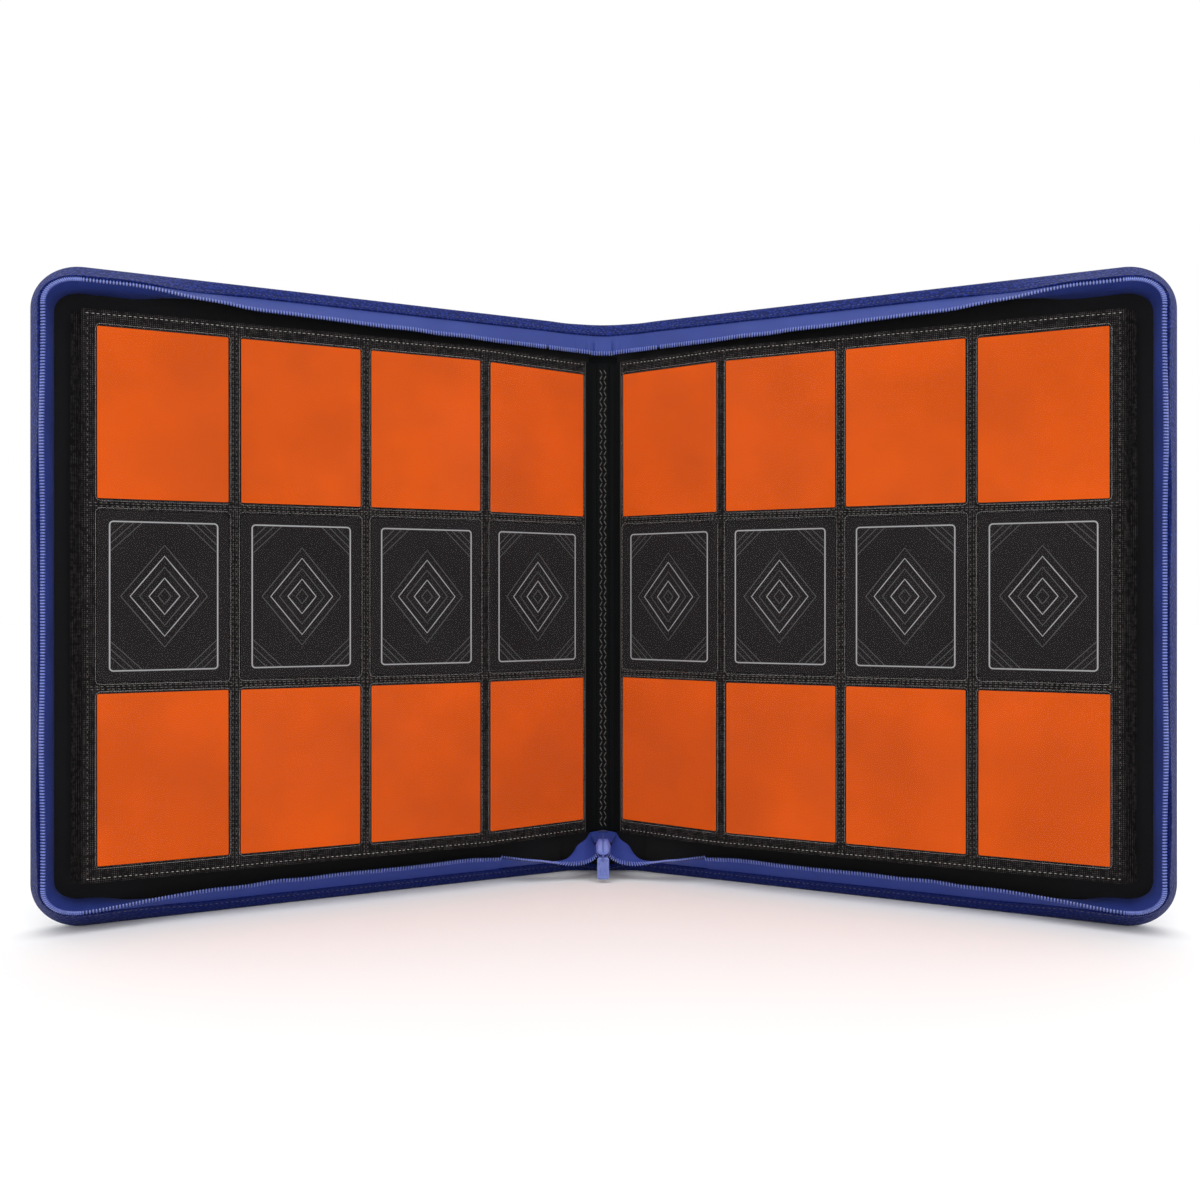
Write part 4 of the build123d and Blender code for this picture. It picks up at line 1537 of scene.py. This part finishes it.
    def line_print(self, shape: Shape, column: float, row: float, face: float, path: np.ndarray,
                   width: float, mark: int, closed: bool = True) -> None:
        """Adds one printed line on a card.

        Args:
            shape: what it is added to.
            column: middle of the card along the leaf.
            row: its middle height.
            face: 1 for the front, -1 for the back.
            path: (n, 2) the line, from the card's middle.
            width: of the line.
            mark: the finish.
            closed: whether the line returns to its start.
        """
        ahead, behind = np.roll(path, -1, 0), np.roll(path, 1, 0)
        if not closed:
            ahead[-1], behind[0] = path[-1], path[0]
        run = ahead - behind
        run /= np.maximum(np.linalg.norm(run, axis=1, keepdims=True), 1e-9)
        side = np.stack([-run[:, 1], run[:, 0]], -1) * width / 2
        both = np.stack([path - side, path + side], 0)
        if closed:
            both = np.concatenate([both, both[:, :1]], 1)
        grid = self.place(column + both[..., 0], face * 0.455, row + both[..., 1])
        shape.surface(grid, both, mark)

    def ornament(self, shape: Shape, column: float, row: float, face: float) -> None:
        """Adds the dark card's print: a plain rounded frame and nested diamonds."""
        frame_ring = self.outline(self.card_wide - 11.2, self.card_tall - 11.2, 1.8)
        self.line_print(shape, column, row, face, frame_ring, 0.72, 0)
        for step, size in enumerate((21.0, 16.5, 12.0, 7.5, 3.2)):
            diamond = np.array([[size, 0], [0, size * 1.28], [-size, 0], [0, -size * 1.28]])
            fine = np.concatenate([np.linspace(diamond[k], diamond[(k + 1) % 4], 5)[:-1] for k in range(4)])
            self.line_print(shape, column, row, face, fine, 0.5, 1 if step % 2 == 0 else 0)
        for x in (-1, 1):
            for z in (-1, 1):
                for reach in (7.0, 11.0, 15.0):
                    ends = np.array([[x * 25.8, z * (38.4 - reach)], [x * (25.8 - reach), z * 38.4]])
                    fine = ends[:1] + (ends[1:] - ends[:1]) * np.linspace(0, 1, 4)[:, None]
                    self.line_print(shape, column, row, face, fine, 0.42, 1, closed=False)

    def film(self, shape: Shape, face: float) -> None:
        """Adds the clear pocket fronts and the weld line round each.

        Args:
            shape: what they are added to.
            face: 1 for the front, -1 for the back.
        """
        for index, column in enumerate(self.columns()):
            for level, row in enumerate(self.rows()):
                wide, tall = self.card_wide + 2.0, self.card_tall + 2.6
                rim = np.array([0.0, 0.35, 0.7, 1.1])
                x, z = (np.concatenate([rim - size / 2, np.linspace(4 - size / 2, size / 2 - 4, count),
                                        size / 2 - rim[::-1]])
                        for size, count in ((wide, 9), (tall, 12)))
                gx, gz = np.meshgrid(x, z)
                near = np.minimum(wide / 2 - np.abs(gx), tall / 2 - np.abs(gz))
                rise = 0.2 + 0.31 * smooth(near / 0.9)
                rise = rise + 0.03 * np.sin(gx / 9.0 + index * 2.1 + level) * smooth(near / 6)
                shape.surface(self.place(column + gx, face * rise, row + gz), np.stack([gx, gz], -1))
                ring = self.outline(wide, tall, 2.6)
                path = np.concatenate([ring, ring[:1]])
                shape.tube(self.place(column + path[:, 0], face * 0.24, row + path[:, 1]), 0.16, 5, mark=1)

    def pocket_pieces(self) -> list[bpy.types.Object]:
        """The cloth, stitches, cards, print and films of a filled leaf."""
        name = f"{self.side.value}_leaf_{self.number + 1}"
        shape = Shape()
        self.cloth(shape, 0.14, self.start, 0.06)
        cloth = shape.build(f"{name}_cloth", [BACKING])
        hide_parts(f"{name}_backing")
        sewn, orange, dark, ink, film = Shape(), Shape(), Shape(), Shape(), Shape()
        seed = 3 * self.number + (0 if self.side is Side.LEFT else 1)
        chance = np.random.default_rng(seed + 11)
        for face in (1.0, -1.0):
            self.sewing(sewn, face, 0.17)
            self.film(film, face)
            for column in self.columns():
                for level, row in enumerate(self.rows()):
                    slip = tuple(chance.uniform(-0.22, 0.22, 2))
                    tilt = float(chance.uniform(-0.1, 0.1))
                    if level == 1:
                        self.card(dark, column, row, face, 3.0, 0.0, (0.0, 0.0))
                        self.ornament(ink, column, row, face)
                    else:
                        self.card(orange, column, row, face, 0.7, tilt, slip)
        made = [
            cloth,
            sewn.build(f"{name}_stitches", [THREAD, FAINT_THREAD], mend=False),
            orange.build(f"{name}_orange_cards", [ORANGE, PAPER]),
            dark.build(f"{name}_black_cards", [DARK, DARK_EDGE]),
            ink.build(f"{name}_black_card_lines", [INK, FAINT_INK], mend=False),
            film.build(f"{name}_clear_pockets", [FILM, WELD], mend=False),
        ]
        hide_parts(f"{name}_insert_cards")
        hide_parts(f"{name}_dark_cards")
        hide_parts(f"{name}_pockets")
        for piece in made:
            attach(piece, name)
        self.piping(name)
        return made

    def piping(self, name: str) -> None:
        """The corded edge beside the first column."""
        tall = np.linspace(self.low + 0.6, self.high - 0.6, 120)
        shape = Shape()
        for face in (1.0, -1.0):
            shape.tube(self.place(np.full_like(tall, -self.start + 0.1), face * 0.3, tall), 0.34, 7)
        cord = shape.build(f"{name}_edge_piping", [PIPING])
        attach(cord, name)

    def empty_piece(self) -> None:
        """An empty leaf of the stack, whose pockets lie flat."""
        name = f"{self.side.value}_empty_leaf_{self.number + 1}"
        shape = Shape()
        self.cloth(shape, 0.12, self.start - 3.0, 0.03)
        cloth = shape.build(name, [EMPTY_LEAF])
        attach(cloth, f"{self.side.value}_leaves")
        if self.number == 2:
            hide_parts(f"{self.side.value}_leaf_stack")
            sewn, film = Shape(), Shape()
            self.sewing(sewn, 1.0, 0.14)
            self.film_flat(film)
            thread = sewn.build(f"{name}_stitches", [THREAD, FAINT_THREAD], mend=False)
            clear = film.build(f"{name}_clear_pockets", [FILM, WELD], mend=False)
            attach(thread, f"{self.side.value}_leaves")
            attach(clear, f"{self.side.value}_leaves")

    def film_flat(self, shape: Shape) -> None:
        """Adds flat pocket fronts."""
        for column in self.columns():
            for row in self.rows():
                ring = self.outline(self.card_wide + 1.6, self.card_tall + 2.2, 2.6)
                points = self.place(column + ring[:, 0], 0.16, row + ring[:, 1])
                shape.add(points, [list(range(len(ring)))], ring)
                path = np.concatenate([ring, ring[:1]])
                shape.tube(self.place(column + path[:, 0], 0.15, row + path[:, 1]), 0.07, 5, mark=1)


@dataclass
class Leaves:
    """Every leaf on one side, and the margins that bind them."""

    layout: Layout
    side: Side
    count: int = 10

    def margin(self, number: int) -> bpy.types.Object:
        """The satin margin from the binding to one leaf's inner edge."""
        leaf = Leaf(self.layout, self.side, number)
        end = leaf.plan(np.array([-leaf.start + 0.4]), 0.0)[0]
        inner = leaf.frame()[1]
        run = heading(inner)
        start = np.array([4.6, 4.35 - 0.7 * number])
        t = np.linspace(0, 1, 15)[:, None]
        out, back = start + np.array([2.4, -0.3]), end - run * 3.2
        plan = bezier(t, start, out, back, end)
        out_way = square(plan) * 0.13
        tall = np.linspace(leaf.low + 0.3, leaf.high - 0.3, 70)
        wave = 0.1 * np.sin(tall / 8.0)[:, None, None] * np.sin(np.pi * t)[None]
        front = self.layout.row(self.side, plan[None] + out_way[None] + wave, tall[:, None])
        rear = self.layout.row(self.side, plan[None] - out_way[None] + wave, tall[:, None])
        far = lengths(plan)
        shape = Shape()
        shape.slab(front, rear, np.stack(np.broadcast_arrays(far[None], tall[:, None]), -1))
        piece = shape.build(f"{self.side.value}_bound_margin_{number + 1}", [BINDING])
        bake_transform(piece)
        return piece

    def make(self) -> None:
        """Makes the leaves."""
        for number in range(self.count):
            leaf = Leaf(self.layout, self.side, number)
            if number < 2:
                leaf.pocket_pieces()
            else:
                leaf.empty_piece()
        for number in (0, 1, 3):
            self.margin(number)


@dataclass
class ZipEnd:
    """The closed end of the zip below the leaves: tapes, teeth, stop, slider and pull."""

    layout: Layout
    wall: RimWall
    slider_start: tuple[float, float] = (20.5, 22.4)
    tilt: float = 43.0
    long: float = 11.0
    wide: float = 8.6
    stub_root: tuple[float, float] = (5.6, 24.6)
    stub_tip: tuple[float, float] = (21.6, 22.6)

    def slope(self, across: np.ndarray, along: np.ndarray, lift: np.ndarray) -> np.ndarray:
        """Row frame points in the slider's own frame."""
        turn = math.radians(self.tilt)
        forward = self.slider_start[0] + along * math.cos(turn) + lift * math.sin(turn)
        height = self.slider_start[1] - along * math.sin(turn) + lift * math.cos(turn)
        return self.layout.row(Side.RIGHT, np.stack([across, forward], -1), height)

    def stub(self) -> list[bpy.types.Object]:
        """The closed tapes, with the dark slit between them, the teeth and the end stop."""
        root, tip = np.array(self.stub_root), np.array(self.stub_tip)
        shape = Shape()
        for sign in (-1.0, 1.0):
            s = np.linspace(0, 1, 22)[:, None]
            w = np.linspace(0, 1, 12)[None]
            across = sign * (0.22 + w * (8.6 - 3.4 * s - 0.22))
            forward = root[0] + (tip[0] - root[0]) * s + 0 * w
            sag = -0.9 * w**2 + 0.5 * np.exp(-((w / 0.12) ** 2)) + 0.22 * np.sin(s * 9 + w * 3)
            height = root[1] + (tip[1] - root[1]) * s + sag + 0.9
            plan = np.stack(np.broadcast_arrays(across, forward), -1)
            front = self.layout.row(Side.RIGHT, plan, height)
            back = self.layout.row(Side.RIGHT, plan, height - 0.55)
            shape.slab(front, back, np.stack(np.broadcast_arrays(s * 19, w * 8), -1))
        # Painted shade: the closed tapes take the darker blue of the same tape.
        tape = shape.build("zip_closed_tapes", [TAPE_PAINTED_SHADE])
        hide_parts("zip_closed_tape")
        shape = Shape()
        count = 10
        for index in range(count):
            share = (index + 1.6) / (count + 1.2)
            forward = root[0] + (tip[0] - root[0]) * share
            height = root[1] + (tip[1] - root[1]) * share + 0.35
            sign = 1.0 if index % 2 else -1.0
            plan = np.array([[-1.5, forward], [-0.6, forward + 0.1], [0.6, forward - 0.1], [1.5, forward]])
            plan[:, 0] += 0.3 * sign
            path = self.layout.row(Side.RIGHT, plan, height - 0.35)
            shape.tube(path, np.array([0.4, 0.55, 0.55, 0.4]), 8)
        teeth = shape.build("zip_closed_coil", [TEETH])
        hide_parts("zip_closed_teeth")
        shape = Shape()
        s = np.linspace(-3.0, 3.0, 13)
        plan = np.stack([s, np.full_like(s, root[0] + 2.0)], -1)
        path = self.layout.row(Side.RIGHT, plan, root[1] + 1.3 + 0.2 * np.cos(s))
        shape.tube(path, 0.75 - 0.02 * s**2, 10)
        stop = shape.build("zip_stop_bar", [TOOTH_GAPS])
        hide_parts("zip_end_stop")
        made = [tape, teeth, stop]
        for piece in made:
            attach(piece, "spine")
        return made

    def plate(self, shape: Shape, low: float, high: float, dome: float) -> None:
        """Adds a shield-shaped plate with a rounded rim and a raised middle.

        Args:
            shape: what it is added to.
            low: its underside.
            high: its top at the rim.
            dome: how far the middle rises above that.
        """
        t = np.linspace(0, 2 * math.pi, 49)[:-1]
        along = self.long / 2 - np.cos(t) * self.long / 2
        shoulder = 0.76 + 0.24 * smooth(along / 4.6)
        round_end = np.sqrt(np.clip(1 - np.clip((along - self.long + 4.6) / 4.6, 0, 1) ** 2, 0, 1))
        across = np.sign(np.sin(t)) * np.abs(np.sin(t)) ** (0.13 + 0.2 * along / self.long)
        across = across * self.wide / 2 * shoulder * round_end**0.5
        ring = np.stack([across, along], -1)
        centre = np.array([0.0, self.long / 2])
        levels = [(1.0, low), (1.06, (low + high) / 2), (1.0, high - 0.25), (0.9, high),
                  (0.5, high + dome), (0.02, high + dome * 1.2)]
        under = [(0.02, low), (0.9, low)]
        rows = []
        for scale, lift in under + levels:
            place = centre + (ring - centre) * scale
            rows.append(self.slope(place[:, 0], place[:, 1], np.full(len(ring), lift)))
        grid = np.array(rows)
        flat = np.stack(np.broadcast_arrays(np.arange(len(rows))[:, None] * 1.0, t[None] * 3), -1)
        shape.surface(grid, flat, wrap=True)
        shape.close(len(rows), len(ring))

    def slider(self) -> bpy.types.Object:
        """The slider: two plates, the post between them, the bridge on top and the lug for the pull."""
        shape = Shape()
        self.plate(shape, 2.6, 3.8, 0.35)
        self.plate(shape, -1.6, -0.4, 0.0)
        t = np.linspace(0, 1, 12)
        post = self.slope(np.zeros(12), np.full(12, self.long - 3.0), -1.0 + t * 4.4)
        shape.tube(post, 1.3, 12)
        ridge = np.linspace(0, 1, 17)
        arch = 3.7 + 0.75 * np.sin(ridge * math.pi) ** 0.6
        crest = self.slope(np.zeros(17), 0.6 + ridge * (self.long - 1.8), arch)
        shape.tube(crest, 0.42 + 0.2 * np.sin(ridge * math.pi), 10)
        for sign in (-1.0, 1.0):
            s = np.linspace(0, 1, 9)
            line = self.slope(sign * (2.2 + 1.1 * s), 0.8 + 4.4 * s, np.full(9, 3.75))
            shape.tube(line, 0.26, 8)
        lug = np.linspace(0, 2 * math.pi, 25)
        ring = self.slope(np.zeros(25), self.long + 1.2 + 1.9 * np.cos(lug), 1.6 + 1.55 * np.sin(lug))
        shape.tube(ring, 0.62, 9)
        piece = shape.build("zip_slider_body", [ENAMEL], 50.0)
        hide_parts("zip_slider")
        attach(piece, "slider")
        return piece

    def pull(self) -> bpy.types.Object:
        """The pull tab: a long rounded tab with a raised rim and a plain recess, on its pin."""
        low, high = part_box("zip_pull")
        bottom, top = low.z / MM, high.z / MM
        forward = self.layout.hinge_y - (low.y + high.y) / 2 / MM
        half, tall = (high.x - low.x) / 2 / MM, top - bottom
        shape = Shape()
        leaf = Leaf(self.layout, Side.RIGHT, 0)
        ring = leaf.outline(2 * half, tall, 1.5, 7)
        levels = [(0.35, -0.62), (0.0, -0.4), (0.0, 0.4), (0.35, 0.66), (1.05, 0.66), (1.45, 0.36),
                  (3.2, 0.36)]
        rows = []
        for inset, lift in levels:
            scale = np.array([(half - inset) / half, (tall / 2 - inset) / (tall / 2)])
            place = ring * scale
            plan = np.stack([place[:, 0], np.full(len(ring), forward + lift)], -1)
            rows.append(self.layout.row(Side.RIGHT, plan, (bottom + top) / 2 + place[:, 1]))
        flat = np.stack(np.meshgrid(np.arange(len(rows)), np.arange(len(ring)), indexing="ij"), -1) * 1.0
        shape.surface(np.array(rows), flat, wrap=True)
        shape.close(len(rows), len(ring))
        for step in range(3):
            z = bottom + 2.3 + step * 1.35
            s = np.linspace(-1.7, 1.7, 7)
            plan = np.stack([s, np.full_like(s, forward + 0.42)], -1)
            shape.tube(self.layout.row(Side.RIGHT, plan, np.full_like(s, z)), 0.3, 7)
        pin = np.linspace(-half + 0.9, half - 0.9, 9)
        plan = np.stack([pin, np.full_like(pin, forward)], -1)
        shape.tube(self.layout.row(Side.RIGHT, plan, np.full_like(pin, top - 0.9)), 0.5, 9)
        piece = shape.build("zip_pull_tab", [PULL], 50.0)
        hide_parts("zip_pull")
        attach(piece, "pull")
        return piece

    def curtain(self, side: Side) -> None:
        """The open tape and teeth from the slider round to where the cover's tape begins.

        Args:
            side: the half that they are on.
        """
        cut, _ = self.wall_for(side)
        join = cut.line(np.array([0.5, 0.66, 0.83, 1.0]), 0.0)[0]
        plain = join.copy()
        plain[:, 0] *= side.sign
        plain[:, 1] = self.layout.hinge_y - plain[:, 1]
        edge = [(2.4, 27.3, 17.0), (6.0, 26.4, 13.2), (12.0, 25.2, 10.6), (20.0, 25.6, 10.0),
                (30.0, 28.0, 11.4), (44.0, 32.0, 13.4), tuple(plain[3])]
        root = [(8.3, 6.4, 24.9), (8.9, 8.6, 24.2), (11.0, 12.4, 21.8), (15.4, 16.0, 19.4),
                (17.2, 18.2, 16.8), (18.4, 20.2, 11.8), (40.0, 23.0, 9.8), tuple(plain[0])]
        count = 74
        lower, upper = spline(edge, count), spline(root, count)
        w = np.linspace(0, 1, 13)[None, :, None]
        grid = upper[:, None] + (lower - upper)[:, None] * w
        s = np.linspace(0, 1, count)[:, None]
        fold = np.sin(np.pi * w[..., 0]) * (1.4 * (1 - s) + 0.6 * np.sin(s * 16.0) * (1 - s))
        grid[..., 1] += fold
        grid[..., 2] -= 0.4 * fold
        turned = self.layout.row(side, grid[..., :2], grid[..., 2])
        normal = np.cross(np.gradient(turned, axis=0), np.gradient(turned, axis=1))
        normal /= np.maximum(np.linalg.norm(normal, axis=2, keepdims=True), 1e-9)
        flat = np.stack(np.broadcast_arrays(s * 64, w[..., 0] * 11), -1)
        shape = Shape()
        shape.slab(turned + normal * 0.26, turned - normal * 0.26, flat)
        # Painted shade: the open tape takes the darker blue of the same tape.
        tape = shape.build(f"{side.value}_zip_curtain", [TAPE_PAINTED_SHADE])
        out = normal[:, -1] * (1.0 if normal[5, -1, 1] < 0 else -1.0)
        line = turned[:, -1]
        far = lengths(line)
        at = np.arange(0.8, far[-1], self.wall.tooth_pitch)
        across = unit(turned[:, -1] - turned[:, -2])
        shape = Shape()
        tooth_row(shape, sample(line + out * 0.6, far, at), sample(across, far, at), sample(out, far, at))
        shape.tube(line + out * 0.25, 0.62, 6, mark=1)
        teeth = shape.build(f"{side.value}_zip_curtain_teeth", [TEETH, TOOTH_GAPS])
        for piece in (tape, teeth):
            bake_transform(piece)

    def wall_for(self, side: Side) -> tuple[Section, np.ndarray]:
        """The cover's own wall section where its tape begins."""
        wall = RimWall(self.layout, side)
        return wall.section(wall.low_tape_start)

    def make(self) -> None:
        """Makes the end of the zip."""
        self.stub()
        self.slider()
        self.pull()
        for side in Side:
            self.curtain(side)


@dataclass
class Studio:
    """The pale floor, the soft lights and the camera."""

    eye: tuple[float, float, float] = (-0.0019, -0.5695, 0.1715)
    lens: float = 30.0

    def floor(self) -> None:
        """A wide pale floor, very slightly uneven."""
        shape = Shape()
        reach = np.linspace(-6000, 6000, 25)
        x, y = np.meshgrid(reach, reach)
        shape.surface(np.stack([x, y, np.full_like(x, -0.05)], -1), np.stack([x, y], -1))
        mesh = bpy.data.meshes.new("studio_floor")
        mesh.from_pydata((np.concatenate(shape.points) * MM).tolist(), [], shape.faces)
        board = Board("pale_floor_paint")
        haze = board.noise(board.space(), 3.0, 2.0)
        board.dress(Base_Color=board.blend(haze, paint(244, 244, 244), paint(250, 250, 250)), Roughness=0.9)
        board.dress(Specular_IOR_Level=0.1)
        mesh.materials.append(board.made)
        floor = bpy.data.objects.new("studio_floor", mesh)
        bpy.context.scene.collection.objects.link(floor)
        floor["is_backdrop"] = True

    def lamp(self, name: str, place: tuple[float, float, float], target: tuple[float, float, float],
             size: tuple[float, float], power: float) -> None:
        """One soft rectangular lamp.

        Args:
            name: its name.
            place: where it hangs, in metres.
            target: where it points.
            size: its two sides.
            power: in watts.
        """
        data = bpy.data.lights.new(name, "AREA")
        data.shape = "RECTANGLE"
        data.size, data.size_y = size
        data.energy = power
        lamp = bpy.data.objects.new(name, data)
        lamp.location = place
        lamp.rotation_euler = (Vector(target) - Vector(place)).to_track_quat("-Z", "Y").to_euler()
        bpy.context.scene.collection.objects.link(lamp)

    def lights(self) -> None:
        """Soft light from above and in front, with a white surround."""
        middle = (0.0, 0.02, 0.17)
        self.lamp("top_softbox", (0.0, -0.35, 1.5), middle, (1.6, 1.0), 4.5)
        self.lamp("front_left_softbox", (-1.1, -1.3, 0.7), middle, (0.8, 1.1), 1.0)
        self.lamp("front_right_softbox", (1.2, -1.2, 0.8), middle, (0.8, 1.1), 1.4)
        self.lamp("back_softbox", (0.3, 1.6, 1.0), middle, (1.4, 0.9), 2.5)
        world = bpy.data.worlds.new("white_surround")
        world.use_nodes = True
        tree = world.node_tree
        where = tree.nodes.new("ShaderNodeTexCoord")
        split = tree.nodes.new("ShaderNodeSeparateXYZ")
        rise = tree.nodes.new("ShaderNodeMapRange")
        for socket, value in (("From Min", 0.42), ("From Max", 0.95), ("To Min", 1.0), ("To Max", 1.3)):
            rise.inputs[socket].default_value = value
        background = tree.nodes["Background"]
        background.inputs["Color"].default_value = (1.0, 1.0, 1.0, 1.0)
        tree.links.new(where.outputs["Generated"], split.inputs[0])
        tree.links.new(split.outputs["Z"], rise.inputs["Value"])
        tree.links.new(rise.outputs[0], background.inputs["Strength"])
        bpy.context.scene.world = world
        bpy.context.scene.view_settings.view_transform = "Standard"

    def camera(self) -> None:
        """A level camera in front of the open binder."""
        data = bpy.data.cameras.new("camera")
        data.lens = self.lens
        data.sensor_width = 36.0
        data.clip_start, data.clip_end = 0.01, 100.0
        camera = bpy.data.objects.new("camera", data)
        camera.location = self.eye
        camera.rotation_euler = (math.radians(90), 0.0, 0.0)
        bpy.context.scene.collection.objects.link(camera)
        bpy.context.scene.camera = camera

    def make(self) -> None:
        """Sets up the studio."""
        self.floor()
        self.lights()
        self.camera()


def dress_boards() -> None:
    """Gives the stiff boards that stay from the frame their own finish."""
    for name in ("left_cover_board", "right_cover_board", "spine_board"):
        node = frame["nodes"][name]
        node.data.materials.clear()
        node.data.materials.append(BOARD_FILL.material())
    for name in ("spine_gusset_bottom", "spine_gusset_top", "spine_zip_bridge"):
        node = frame["nodes"][name]
        node.data.materials.clear()
        node.data.materials.append((TAPE if "zip" in name else LEATHERETTE).material())


def corners() -> list[list[float]]:
    """The shown model's box as plain numbers."""
    return [list(corner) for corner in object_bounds()]


def main() -> None:
    """Builds the binder around its frame."""
    logging.basicConfig(level=logging.INFO, format="%(name)s: %(message)s")
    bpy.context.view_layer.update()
    layout = Layout.read(frame)
    Studio().make()
    dress_boards()
    for side in Side:
        Cover(layout, side).make()
        wall = RimWall(layout, side)
        wall.make()
        SpineFold(layout, side, wall).make()
        Leaves(layout, side).make()
    Spine(layout).make()
    ZipEnd(layout, RimWall(layout, Side.RIGHT)).make()
    for name, strip in (("spine_gusset_bottom", "right_hinge_low_strip"),
                        ("spine_gusset_top", "right_hinge_high_strip"),
                        ("spine_zip_bridge", "right_hinge_high_tape")):
        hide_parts(name)


if __name__ == "__main__":
    main()
